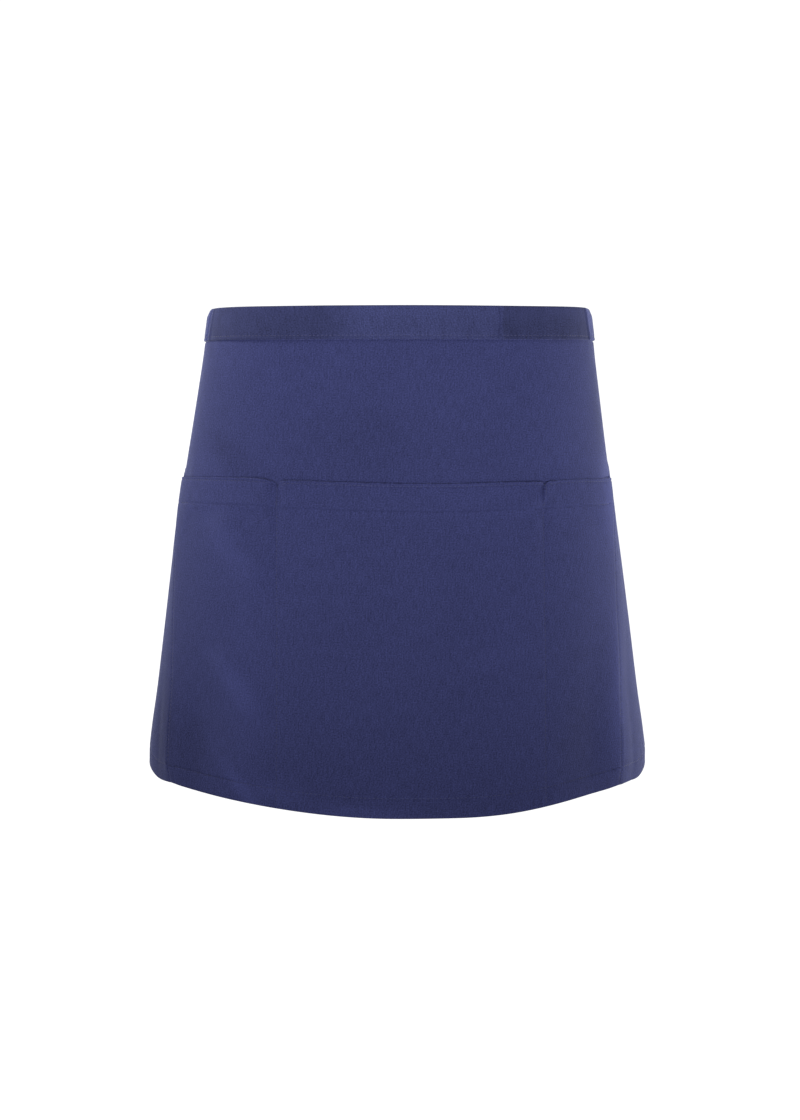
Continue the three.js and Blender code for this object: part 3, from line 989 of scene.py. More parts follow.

# Painted light and shade: pale marks are painted highlights on folds, the hem and the side edges, dark
# marks are painted shade in hollows and at the corners. Middle along and drop, half length, half width,
# slope, strength.
PAINTED_LIGHT_AND_SHADE = [
    (-102, 152, 26, 9, 1.1, 0.13),
    (-101, 231, 23, 7.5, 0.92, 0.2),
    (-97, 292, 22, 5, 1.0, 0.22),
    (-95, 235, 14, 60, 0, 0.07),
    (-106, 90, 20, 9, 0.7, -0.15),
    (-14, 80, 30, 18, 0.3, -0.1),
    (-72, 291, 16, 6, 0, 0.18),
    (-20, 298, 24, 4, 0, 0.24),
    (-141, 276, 13, 24, 0, -0.18),
    (-167, 272, 10, 28, 0, -0.22),
    (-167, 128, 7, 18, 0, 0.22),
    (45, 110, 30, 10, 0, 0.08),
    (64, 207, 24, 5, -0.25, 0.06),
    (116, 268, 16, 26, 0, -0.15),
    (144, 62, 12, 28, 0, -0.16),
    (152, 116, 14, 24, 0, 0.42),
    (149, 238, 7, 46, 0, 0.2),
]

# The waistband's outer stretches are darker: painted shade where it turns from the light, and past the
# join also the other strip's own darker tone. Span, how much.
SHADE_AND_TONE_STRETCHES = [((-18.0, -50.0), 0.75), ((12.0, 52.0), 0.2), ((60.8, 63.2), 0.8)]

# Beyond the leaning creases at the hips a highlight is painted: lean of the crease, span at the crease,
# span at the far end, how much. The painted highlight ends on the fold of its top edge.
HIP_HIGHLIGHTS = [
    (0.21, (132.0, 134.5), (162.0, 134.0), 1.0),
    (-0.33, (-137.0, -140.0), (-164.0, -138.0), 0.65),
]
HIGHLIGHT_TOP = (33.0, 29.0)
# How pale the painted highlight makes the cloth, and how much of the darker stretches it takes away.
HIGHLIGHT_PALE = 0.4
HIGHLIGHT_LIFTS_SHADE = 0.8

# Its streaks (reach across, reach down, strength), and painted light on its upper half: span up the
# strip, strength, and more of it past the join.
BAND_STREAK = (4, 60, 0.14)
UPPER_SPAN = (13.0, 25.0)
UPPER_PAINTED_LIGHT = 0.07
PAST_JOIN = (61.5, 70.0)
PAST_JOIN_PAINTED_LIGHT = 0.13
BAND_SHADE = 0.02


def shaded(colour, amount):
    return (*(channel * amount for channel in colour), 1.0)


def painted_light_mark(along, down, middle, drop, long, wide, slope, strength):
    """A painted highlight or a painted shade: a soft pale or dark mark, strongest in its middle. Its
    strength is a share of the cloth's own colour."""
    lean = 1 / math.hypot(1, slope)
    ahead = ((along - middle) + (down - drop) * slope) * (lean / long)
    beside = ((down - drop) - (along - middle) * slope) * (lean / wide)
    far = ahead * ahead + beside * beside
    return strength / ((PALEST - DARKEST) * (1 + far * far))


def twill(name, colours, colour, blotch, relief_effects=(), shade_and_tone_colour=None):
    """Navy twill: diagonal wales, uneven yarns and a soft bloom of loose fibres, with painted highlights
    and painted shade.
    """
    finish = Finish(name)
    place = finish.node("ShaderNodeTexCoord", None, None, "UV")
    along = finish.node("ShaderNodeSeparateXYZ", None, {0: place}, 0) * (1 / UV_PER_MM)
    down = finish.node("ShaderNodeSeparateXYZ", None, {0: place}, 1) * (1 / UV_PER_MM)
    turn = 2 * math.pi
    wale = ((along + down * WALE_LEAN) * (turn / WALE)).sine()
    yarn = (along * (turn / YARN)).sine()
    streak = finish.noise(place, *STREAK[:2])
    grain = finish.noise(place, *GRAIN[:2])
    mottle = finish.noise(place, *MOTTLE)
    cloud = finish.noise(place, *CLOUD[:2])
    weave = (streak - 0.5) * STREAK[2] + (grain - 0.5) * GRAIN[2] + wale * WALE_TONE
    shade = 0.5 + weave + (mottle - 0.5) * blotch + (cloud - 0.5) * CLOUD[2]
    # Painted highlights and painted shade, mark by mark.
    for mark in relief_effects:
        shade = shade + painted_light_mark(along, down, *mark)
    if shade_and_tone_colour is None:
        cloth = finish.dyed(shade, colour)
    else:
        # Painted highlights at the hips and on the upper half, and painted shade on the outer stretches.
        pale = painted_hip_highlights(finish, along, down)
        shade = shade + band_streaks_and_painted_light(finish, place, along, down) + pale * HIGHLIGHT_PALE
        shade_and_tone_share = shade_and_tone_zone(finish, along) * (1 - pale * HIGHLIGHT_LIFTS_SHADE)
        cloth = finish.blend(shade_and_tone_share, finish.dyed(shade, colour), finish.dyed(shade, shade_and_tone_colour))
    finish.set("Base Color", cloth)
    finish.set("Roughness", 0.8 + grain * 0.16)
    height = wale * 0.5 + yarn * 0.25 + grain * 1.2 + streak * 0.8
    bump = {"Strength": 0.35, "Distance": 0.00012, "Height": height}
    finish.set("Normal", finish.node("ShaderNodeBump", None, bump))
    finish.set("Specular IOR Level", 0.2)
    finish.set("Sheen Weight", colours.sheen)
    finish.set("Sheen Roughness", 0.3)
    finish.set("Sheen Tint", (*colours.sheen_tint, 1.0))
    return finish.material


def shade_and_tone_zone(finish, along):
    """How far the waistband is darkened: painted shade where it turns from the light, and the darker tone
    of the strip past the join.
    """
    return sum(finish.step(along, *span) * amount for span, amount in SHADE_AND_TONE_STRETCHES)


def band_streaks_and_painted_light(finish, place, along, down):
    """Upright streaks, and painted light on the upper half."""
    across, tall, strength = BAND_STREAK
    streaks = (finish.noise(place, across, tall) - 0.5) * strength
    painted_top_light = UPPER_PAINTED_LIGHT + finish.step(along, *PAST_JOIN) * PAST_JOIN_PAINTED_LIGHT
    return streaks + finish.step(down, *UPPER_SPAN) * painted_top_light - BAND_SHADE


def painted_hip_highlights(finish, along, down):
    """How pale the painted highlight makes the waistband beyond its creases at the hips."""
    ends = 0
    for lean, at_crease, far_end, amount in HIP_HIGHLIGHTS:
        ends = ends + finish.step(along + down * lean, *at_crease) * finish.step(along, *far_end) * amount
    return ends * finish.step(down, *HIGHLIGHT_TOP)


# Painted light and shade on the sewing thread: in the middle of the front it is painted bright, and
# further out it is
# painted darker than the cloth, as shade: span in metres from the middle, and the two shades of its
# twisted yarns.
PAINTED_LIGHT_SPAN = (0.1, 0.02)
PAINTED_LIT_SHADES = (0.8, 1.15)
PAINTED_DARK_SHADES = (0.5, 0.75)


def thread_finish(colours):
    finish = Finish("sewing_thread")
    place = finish.node("ShaderNodeTexCoord", None, None, "Object")
    settings = {"wave_type": "BANDS", "bands_direction": "DIAGONAL"}
    inputs = {"Vector": place, "Scale": 900.0, "Distortion": 0.6}
    twist = finish.node("ShaderNodeTexWave", settings, inputs, "Fac")
    across = finish.node("ShaderNodeSeparateXYZ", None, {0: place}, 0)
    # Painted light in the middle of the front, painted shade further out.
    middle = finish.step(across.size(), *PAINTED_LIGHT_SPAN)
    painted_lit = finish.blend(twist, *(shaded(colours.thread, amount) for amount in PAINTED_LIT_SHADES))
    plain = finish.blend(twist, *(shaded(colours.cloth, amount) for amount in PAINTED_DARK_SHADES))
    finish.set("Base Color", finish.blend(middle, plain, painted_lit))
    finish.set("Roughness", 0.55 + twist * 0.15)
    finish.set("Sheen Weight", 0.2)
    return finish.material


def material_named(name, make):
    return bpy.data.materials.get(name) or make(name)


def panel_twill(context):
    colours = context.scene.apron_colours
    # The panel's cloth carries the painted highlights and painted shade.
    return material_named(
        "panel_twill", lambda name: twill(name, colours, colours.cloth, PANEL_MOTTLE, PAINTED_LIGHT_AND_SHADE)
    )


def band_twill(context):
    colours = context.scene.apron_colours
    # The waistband carries painted shade and painted highlights.
    return material_named(
        "band_twill", lambda name: twill(name, colours, colours.band, BAND_MOTTLE, (), colours.band_shade_and_tone)
    )


def thread(context):
    return material_named("sewing_thread", lambda name: thread_finish(context.scene.apron_colours))


def distance(name, description, millimetres):
    return FloatProperty(
        name=name,
        description=description,
        default=millimetres * MM,
        unit="LENGTH",
        subtype="DISTANCE",
        precision=4,
    )


def colour(name, description, value):
    return FloatVectorProperty(
        name=name, description=description, default=value, subtype="COLOR", min=0, max=1
    )


def power(name, description, watts):
    return FloatProperty(name=name, description=description, default=watts, min=0, unit="POWER")


class ApronSizes(PropertyGroup):
    """Sizes of the apron's cut"""

    apron_length: distance("Length", "From the waistband's top edge to the hem, in front", 300)
    panel_width: distance("Panel width", "Finished width of the panel, hem to hem", 550)
    band_height: distance("Waistband", "Finished height of the waistband", 20.5)
    bottom_hem: distance("Bottom hem", "Depth of the turned bottom hem", 12)
    pocket_left: distance("Pocket left", "Pocket's left edge, from the middle of the front", -163)
    pocket_right: distance("Pocket right", "Pocket's right edge, from the middle of the front", 153)
    divider_left: distance("Left divider", "Stitch line between the first two compartments", -72)
    divider_right: distance("Right divider", "Stitch line between the last two compartments", 90.3)
    pocket_drop: distance("Pocket drop", "From the waistband's top edge to the pocket's mouth", 104.3)
    pocket_hem: distance("Pocket hem", "Depth of the hem along the pocket's mouth", 17.5)
    join_seam: distance("Band join", "Where the waistband's two strips are joined", 60)
    cloth: distance("Cloth", "Thickness of the twill", 0.48)
    stitch: distance("Stitch", "Length of one stitch and the space after it", 2.45)
    thread: distance("Thread", "Thickness of the sewing thread", 0.36)


class ApronColours(PropertyGroup):
    """Colours of the apron's cloth and thread"""

    cloth: colour("Cloth", "Colour of the panel and the pocket", (0.0455, 0.0525, 0.165))
    band: colour("Band", "Colour of the waistband and the ties", (0.0525, 0.061, 0.174))
    # A darker copy of the band's colour: painted shade on its outer stretches, and the own tone of the
    # strip past the join.
    band_shade_and_tone: colour("Dull band", "Colour of the waistband's outer stretches", (0.0335, 0.039, 0.112))
    thread: colour("Thread", "Colour of the sewing thread", (0.066, 0.074, 0.2))
    sheen_tint: colour("Bloom colour", "Colour of the cloth's soft bloom", (0.62, 0.66, 1.0))
    sheen: FloatProperty(
        name="Bloom",
        description="Strength of the soft bloom that loose fibres give the cloth",
        default=0.35,
        min=0,
        max=1,
        subtype="FACTOR",
    )


class ApronStage(PropertyGroup):
    """Light and camera"""

    key: power("Key", "Soft light beside the camera, turned to the waist", 1.8)
    left: power("Left", "Light above the left hip", 0.64)
    right: power("Right", "Light beside the right hip", 0.75)
    low_left: power("Low left", "Light low behind the left side", 0.33)
    low_right: power("Low right", "Light low behind the right side", 1.1)
    back: power("Back", "Soft light behind", 8.0)
    fill: FloatProperty(name="Fill", description="Even light from all round", default=0.1, min=0)
    lens: FloatProperty(name="Lens", description="Focal length", default=61.69, unit="CAMERA")


class APRON_OT_skirt_panel(Operator):
    """Lay the panel round the form with its side hems and bottom hem turned in"""

    bl_idname = "apron.skirt_panel"
    bl_label = "Skirt panel"

    # Spacing of the grid lines, and more rows beside the pocket's mouth.
    COLUMN = 2.7
    ROW = 2.9
    MOUTH_ROWS = (-2.4, 0.3, 3.0)

    # Room between the last plain line and the turned edge, and below the hem.
    EDGE_ROOM = 0.4
    FOOT_ROOM = 0.5

    # Where the side hems open below the waistband, and where their pile lifts the bottom hem.
    OPEN_SPAN = (-4, 2)
    PILE_SPAN = (-1.5, 0.5)

    def columns(self, apron):
        edge = apron.half
        marks = [-apron.side_stitch, apron.left, apron.right, apron.side_stitch]
        middle = ruled(-edge + self.EDGE_ROOM, edge - self.EDGE_ROOM, self.COLUMN, marks)
        hem = (HEM_LAYER, apron.SIDE_HEM, apron.TUCK)
        return Lines.turned(-edge, -1, *hem) + Lines.plain(middle) + Lines.turned(edge, 1, *hem)

    def rows(self, apron):
        bottom = apron.length - self.FOOT_ROOM
        beside_mouth = [apron.pocket_drop + step for step in self.MOUTH_ROWS]
        marks = [apron.hem_stitch, apron.band_line, *beside_mouth]
        fall = ruled(apron.PANEL_TOP, bottom - self.EDGE_ROOM, self.ROW, marks)
        hem = (HEM_LAYER, apron.hem, apron.TUCK)
        return Lines.plain(fall) + Lines.turned(bottom, 1, *hem, marks=[apron.hem - apron.HEM_SEAM])

    def execute(self, context):
        apron = Apron(context.scene.apron_sizes)
        columns = self.columns(apron)
        rows = self.rows(apron)
        drop = rows.places[:, None]
        lean = apron.lean(columns.places[None, :], drop)
        along = columns.places[None, :] + lean
        a = columns.layers[None, :] * smoothstep(*(apron.band + step for step in self.OPEN_SPAN), drop)
        b = rows.layers[:, None]
        hem_edge = apron.half - apron.SIDE_HEM
        pile = 2 * smoothstep(*(hem_edge + step for step in self.PILE_SPAN), np.abs(along))
        stack = -HEM_LAYER * (a * (1 - b) + b * (1 + pile - a))
        turned = np.maximum(a, b)
        lie = apron.panel_lie(along, drop) + apron.panel_only(along, drop)
        lift = lie + stack - apron.panel_groove(along, drop) * (1 - 2 * turned)
        points = apron.form.place(along, drop, lift)
        flat = np.stack(np.broadcast_arrays(columns.flat[None, :] + lean, rows.flat[:, None]), axis=2)
        panel = cloth_grid("panel_cloth", points, flat, apron.cloth)
        finish_piece(panel, panel_twill(context), "navy_twill", "skirt_panel")
        return {"FINISHED"}


class APRON_OT_pocket(Operator):
    """Lay the pocket on the panel, parted in three by its stitch lines"""

    bl_idname = "apron.pocket"
    bl_label = "Pocket"

    # Spacing of the grid lines, one more row in the hem, and room before the turned edges.
    COLUMN = 2.3
    ROW = 2.6
    HEM_ROW = 6.5
    SIDE_ROOM = 0.3
    MOUTH_ROOM = 0.4

    # The pocket's weave doesn't run on from the panel's.
    WEAVE_SHIFT = (0.17, 0.31)

    def columns(self, apron):
        marks = [apron.left + apron.STITCH_IN, apron.right - apron.STITCH_IN]
        start = apron.left + self.SIDE_ROOM
        middle = ruled(start, apron.right - self.SIDE_ROOM, self.COLUMN, marks, apron.dividers)
        turn = (TURN_LAYER, apron.POCKET_TURN, 0)
        left = Lines.turned(apron.left, -1, *turn)
        return left + Lines.plain(middle) + Lines.turned(apron.right, 1, *turn)

    def execute(self, context):
        apron = Apron(context.scene.apron_sizes)
        columns = self.columns(apron)
        hem_row = apron.hem_stitch - apron.pocket_drop
        marks = [apron.MOUTH_SEAM, apron.pocket_hem_stitch, hem_row, self.HEM_ROW]
        fall = ruled(self.MOUTH_ROOM, apron.depth - apron.BOTTOM_PILE / 2, self.ROW, marks)
        hem = (HEM_LAYER, apron.pocket_hem, apron.TUCK)
        mouth = Lines.turned(0, -1, *hem, marks=[apron.POCKET_HEM_SEAM])
        foot = Lines.turned(apron.depth, 1, apron.BOTTOM_PILE, apron.hem, 0)
        rows = mouth + Lines.plain(fall) + foot
        along = columns.places[None, :]
        row = rows.places[:, None]
        at_mouth = np.arange(len(rows.places))[:, None] < len(mouth.places)
        a = columns.layers[None, :]
        b = rows.layers[:, None]
        pile = np.where(at_mouth, HEM_LAYER, apron.BOTTOM_PILE)
        side = apron.side_zone(along)
        stack = -TURN_LAYER * a * (1 - b) - b * (pile + TURN_LAYER * (2 * side - a))
        draw = 1 - 2 * np.maximum(a, b)
        lift = apron.pocket_lie(along, row) + stack - apron.pocket_groove(along, row) * draw
        drop = apron.pocket_place(along, row)
        points = apron.form.place(along + apron.lean(along, drop), drop, lift)
        flat = np.stack(np.broadcast_arrays(columns.flat[None, :], rows.flat[:, None]), axis=2)
        flat = flat + np.array(self.WEAVE_SHIFT) + np.array([0, apron.pocket_drop])
        pocket = cloth_grid("pocket_cloth", points, flat, apron.cloth)
        finish_piece(pocket, panel_twill(context), "navy_twill", "pocket")
        return {"FINISHED"}


class APRON_OT_waistband(Operator):
    """Fold the two waistband strips over the panel's top edge and run them on as ties"""

    bl_idname = "apron.waistband"
    bl_label = "Waistband and ties"

    # Spacing of the grid lines, where the hips' creases need more of them, and how far from the join
    # they begin to follow its wavering line.
    COLUMN = 2.8
    CREASED = range(126, 142, 3)
    JOIN_REACH = 40

    def execute(self, context):
        apron = Apron(context.scene.apron_sizes)
        drop, lift, flat = apron.band_ring()
        spans = {
            "left": (-apron.tie_reach, apron.seam),
            "right": (apron.seam, apron.tie_reach),
        }
        creased = [side * place for side in (-1, 1) for place in self.CREASED]
        for name, (start, stop) in spans.items():
            along = ruled(start, stop, self.COLUMN, creased, [apron.seam])[None, :]
            towards_seam = np.clip(1 - np.abs(along - apron.seam) / self.JOIN_REACH, 0, 1)
            along = along + (apron.seam_place(drop)[:, None] - apron.seam) * towards_seam
            points = apron.form.place(*apron.band_lie(along, drop[:, None], lift[:, None]))
            laid = np.stack(np.broadcast_arrays(along, flat[:, None]), axis=2)
            strip = cloth_grid(f"band_{name}", points, laid, apron.cloth)
            finish_piece(strip, band_twill(context), "navy_band", f"waistband_{name}")
        return {"FINISHED"}


class APRON_OT_tie_knot(Operator):
    """Wrap the tied knot behind the back"""

    bl_idname = "apron.tie_knot"
    bl_label = "Tie knot"

    AROUND = 72
    SECTION = 40
    RING = 0.4

    # Half depth and half height of the hole that the ties fill, and room for the outer pleats.
    HOLE = (0.2, 6.4)
    PLEAT_ROOM = (0.6, 0.8)

    # The wrap is blunt across its width, wavers a little, and is laid askew.
    BLUNT = 0.72
    WIDTH = 0.93
    WAVER = (0.05, 0.4)
    SKEW = (0.35, 0.7)
    SKEW_WIDTH = 1.1

    # Pleats that run round it, and finer ones that slant: height, how close.
    PLEATS = (0.55, 4.2)
    SLANTED = (0.35, 7.5)
    PLEAT_SHARE = 0.6

    # How the hole opens out into the wrap's crown: start, slope.
    CROWN = (0.5, 0.75)

    # Weave of the wrap: cloth round it and over its edge.
    WEAVE = (10, 4)

    def execute(self, context):
        apron = Apron(context.scene.apron_sizes)
        wide, deep, tall = apron.knot_size / 2
        deselect()
        bpy.ops.mesh.primitive_torus_add(
            major_segments=self.AROUND,
            minor_segments=self.SECTION,
            major_radius=1.0,
            minor_radius=self.RING,
        )
        knot = new_piece("knot_cloth")
        start = places_of(knot.data)
        around = np.arctan2(start[:, 1], start[:, 0])
        outwards = (np.hypot(start[:, 0], start[:, 1]) - 1) / self.RING
        across = start[:, 2] / self.RING
        slope = np.sign(across) * np.abs(across) ** self.BLUNT
        lean = self.SKEW[0] * np.sin(around + self.SKEW[1])
        height, close = self.PLEATS
        pleats = height * np.sin(close * slope * np.pi / 2 + 3 * lean)
        height, close = self.SLANTED
        pleats = pleats + height * np.sin(close * slope + 2 * around)
        crown = np.clip(self.CROWN[0] + self.CROWN[1] * outwards, 0, 1)
        waver = self.WIDTH + self.WAVER[0] * np.sin(2 * around + self.WAVER[1])
        x = wide * slope * waver + self.SKEW_WIDTH * lean * crown
        reach_y, reach_z = (
            hole + (half - room - hole) * crown + pleats * crown * self.PLEAT_SHARE
            for half, hole, room in zip((deep, tall), self.HOLE, self.PLEAT_ROOM)
        )
        y = reach_y * np.sin(around)
        z = reach_z * np.cos(around)
        flat = np.stack([x, self.WEAVE[0] * around + self.WEAVE[1] * outwards], axis=1)
        lay(knot.data, apron.knot_centre + np.stack([x, y, z], axis=1), flat)
        face_outward(KNOT_ANGLE)
        finish_piece(knot, band_twill(context), "navy_band", "tie_knot")
        return {"FINISHED"}


class TieEnd:
    """One short end of the ties, hanging from under the knot."""

    LENGTH = 110.0
    GATHER = 40.0
    OUT = 5.7
    LEAN = 0.2
    SEAT = 4.5
    NARROW = 10.4
    HIDDEN = 6.0
    THIN = 0.58
    BELOW_KNOT = 0.3

    # Its sway, its waves and the curl of its edges: size, length, span down it.
    SWAY = (1.3, 26, (10, 60))
    WAVE = (0.9, 17, (15, 70))
    WAVE_TURN = 1.3
    CURL = (0.6, 21, (10, 50))
    PLEATS = (0.8, 2.5)

    # The cut end is pressed flatter: how much, over which length.
    PRESSED = (0.35, 2.5)

    def __init__(self, apron, side):
        self.apron = apron
        self.side = side
        self.top = (apron.band + apron.knot_size[2]) / 2 + self.BELOW_KNOT

    def place(self, across, row, lift):
        """Place of a point `across` the strip's width, from 0 to its full height, and `row` down it."""
        apron = self.apron
        width = self.NARROW + (apron.band - self.NARROW) * smoothstep(0, self.GATHER, row)
        share = 2 * across / apron.band - 1
        most, long, span = self.SWAY
        lean = self.LEAN * row + most * np.sin(row / long + self.side) * smoothstep(*span, row)
        x = self.side * (self.OUT + lean) - share * width / 2
        half_width, _, back, squareness, shift = apron.form.section(self.top + row)
        inset = np.clip(np.abs(x) / half_width, 0, 0.98) ** squareness
        y = back * (1 - inset) ** (1 / squareness)
        most, waves = self.PLEATS
        gather = 1 - smoothstep(0, self.GATHER, row)
        pleat = gather * most * np.sin(waves * np.pi * share + self.side)
        most, long, span = self.WAVE
        wave = most * np.sin(row / long + self.WAVE_TURN * self.side) * smoothstep(*span, row)
        most, long, span = self.CURL
        curl = most * share * np.sin(row / long) * smoothstep(*span, row)
        most, reach = self.PRESSED
        lift = lift * (1 - most * smoothstep(self.LENGTH - reach, self.LENGTH, row))
        y = y + self.SEAT + lift + pleat + wave + curl
        z = apron.band / 2 - self.top - row
        return np.stack(np.broadcast_arrays(x + shift, y, z), axis=-1)


class APRON_OT_tie_ends(Operator):
    """Hang the two short tie ends from the knot"""

    bl_idname = "apron.tie_ends"
    bl_label = "Tie ends"

    ROW = 2.4
    LAST_ROWS = 3

    def execute(self, context):
        apron = Apron(context.scene.apron_sizes)
        across, lift, flat = apron.band_ring()
        for side, name in ((-1, "left"), (1, "right")):
            end = TieEnd(apron, side)
            rows = ruled(-end.HIDDEN, end.LENGTH, self.ROW, [end.LENGTH - self.LAST_ROWS])
            points = end.place(across[None, :], rows[:, None], end.THIN * lift[None, :])
            laid = np.stack(np.broadcast_arrays(flat[None, :], rows[:, None]), axis=2)
            piece = cloth_grid(f"tie_{name}", points, laid, apron.cloth)
            finish_piece(piece, band_twill(context), "navy_band", f"tie_end_{name}")
        return {"FINISHED"}


class Seams:
    """Where each seam's stitches start and stop, and which way they face, in millimetres."""

    STITCH_SHARE = 0.8
    PROUD = 0.1

    # Room that a seam keeps from the ends of its cloth, and beside the waistband, pocket and join.
    PANEL_END = 2
    POCKET_END = 1.2
    POCKET_FOOT_END = 0.8
    COLUMN_ENDS = (1.0, 1.5)
    TIE_END = 2
    BELOW_BAND = 1.5
    BESIDE_POCKET = 1
    BESIDE_JOIN = 1.2

    # The mouth's seam stops this far from the stitch lines, on the left and on the right.
    LEFT_ROOM = 4
    RIGHT_ROOM = 3

    # Bar tacks: rows that they cover, and how far they lie beside a seam.
    TACK = (12.0, 19.0)
    TACK_BESIDE = 0.35
    EDGE_TACK_BESIDE = 0.4

    # The ties' seams run this far from the knot and from the top of each tie end.
    TIE_BACK = 14
    TIE_TOP = 6.0
    TIE_SUNK = 0.1

    def __init__(self, apron, sizes):
        self.apron = apron
        self.form = apron.form
        self.pitch = sizes.stitch / MM
        self.length = self.pitch * self.STITCH_SHARE
        self.thick = sizes.thread / MM
        self.skin = apron.cloth / 2 + self.PROUD * self.thick

    def row(self, path, start, stop):
        """Stitches from start to stop along a path, which turns distances into places and the ways
        that these face."""
        count = max(1, int(abs(stop - start) / self.pitch))
        centres = start + (np.arange(count) + 0.5) * (stop - start) / count
        half = 0.5 * self.length * np.sign(stop - start)
        return path(centres - half)[0], path(centres + half)[0], path(centres)[1]

    def on_panel(self, along, drop, side, depth):
        apron = self.apron
        lie = apron.panel_lie(along, drop) + apron.panel_only(along, drop)
        lift = lie - side * apron.panel_groove(along, drop) + side * self.skin - depth
        return self.form.place(along, drop, lift), side * self.form.outward(along, drop)

    def panel_row(self, drop, start, stop, *face):
        return self.row(lambda along: self.on_panel(along, drop, *face), start, stop)

    def panel_column(self, along, start, stop, *face):
        return self.row(lambda drop: self.on_panel(along, drop, *face), start, stop)

    def on_pocket(self, along, row):
        apron = self.apron
        lie = apron.pocket_lie(along, row) - apron.pocket_groove(along, row)
        drop = apron.pocket_place(along, row)
        place = self.form.place(along + apron.lean(along, drop), drop, lie + self.skin)
        return place, self.form.outward(along, drop)

    def pocket_row(self, row, start, stop):
        return self.row(lambda along: self.on_pocket(along, row), start, stop)

    def pocket_column(self, along, start, stop):
        return self.row(lambda row: self.on_pocket(along, row), start, stop)

    def on_band(self, along, drop, side):
        lie_along, lie_drop, lift = self.apron.band_lie(along, drop, side * self.apron.band_fold)
        place = self.form.place(lie_along, lie_drop, lift + side * self.skin)
        return place, side * self.form.outward(along, drop)

    def on_tie(self, end, drop, row, face):
        lift = face * (end.THIN * self.apron.band_fold - self.TIE_SUNK + self.skin)
        return end.place(drop, row, lift), np.tile([0.0, face, 0.0], (len(row), 1))

    def of_panel(self):
        """The side hems and the bottom hem, seen on both faces, and behind the pocket the back of its
        own seam."""
        apron = self.apron
        top = apron.band + self.BELOW_BAND
        foot = apron.hem_stitch
        low = apron.length - self.PANEL_END
        edge = apron.half - self.PANEL_END
        left, right = (float(place) for place in apron.edges(foot))
        rows = []
        for side, depth in ((1, 0.0), (-1, HEM_LAYER)):
            rows.append(self.panel_row(foot, -edge, left - self.BESIDE_POCKET, side, depth))
            rows.append(self.panel_row(foot, right + self.BESIDE_POCKET, edge, side, depth))
            rows.append(self.panel_column(-apron.side_stitch, top, low, side, depth))
            rows.append(self.panel_column(apron.side_stitch, top, low, side, depth))
        rows.append(self.panel_row(foot, left, right, -1, apron.BOTTOM_PILE - LAYER))
        return rows

    def of_pocket(self):
        """The mouth and its hem, the foot, the sides, the two stitch lines and the bar tacks."""
        apron = self.apron
        first, last = apron.dividers
        start = apron.left + self.POCKET_END
        stop = apron.right - self.POCKET_END
        left_side = apron.left + apron.STITCH_IN
        right_side = apron.right - apron.STITCH_IN
        parts = [
            (start, first - self.LEFT_ROOM),
            (first + self.LEFT_ROOM, last - self.RIGHT_ROOM),
            (last + self.RIGHT_ROOM, stop),
        ]
        rows = [self.pocket_row(apron.MOUTH_SEAM, *part) for part in parts]
        rows.append(self.pocket_row(apron.pocket_hem_stitch, start, stop))
        foot = (apron.left + self.POCKET_FOOT_END, apron.right - self.POCKET_FOOT_END)
        rows.append(self.pocket_row(apron.hem_stitch - apron.pocket_drop, *foot))
        top, foot = self.COLUMN_ENDS
        for along in (left_side, first, last, right_side):
            rows.append(self.pocket_column(along, top, apron.depth - foot))
        tacks = (first - self.TACK_BESIDE, last + self.TACK_BESIDE, right_side + self.EDGE_TACK_BESIDE)
        for along in tacks:
            rows.append(self.pocket_column(along, *self.TACK))
        return rows

    def of_band(self):
        """The waistband's foot and the ties, on both faces."""
        apron = self.apron
        drop = apron.band_foot - apron.STITCH_IN
        reach = apron.tie_reach - self.TIE_BACK
        parts = ((-reach, apron.seam - self.BESIDE_JOIN), (apron.seam + self.BESIDE_JOIN, reach))
        rows = []
        for side in (1, -1):
            for part in parts:
                rows.append(self.row(lambda along: self.on_band(along, drop, side), *part))
        for side in (-1, 1):
            end = TieEnd(apron, side)
            stop = end.LENGTH - self.TIE_END
            for face in (1, -1):
                rows.append(self.row(lambda row: self.on_tie(end, drop, row, face), self.TIE_TOP, stop))
        return rows


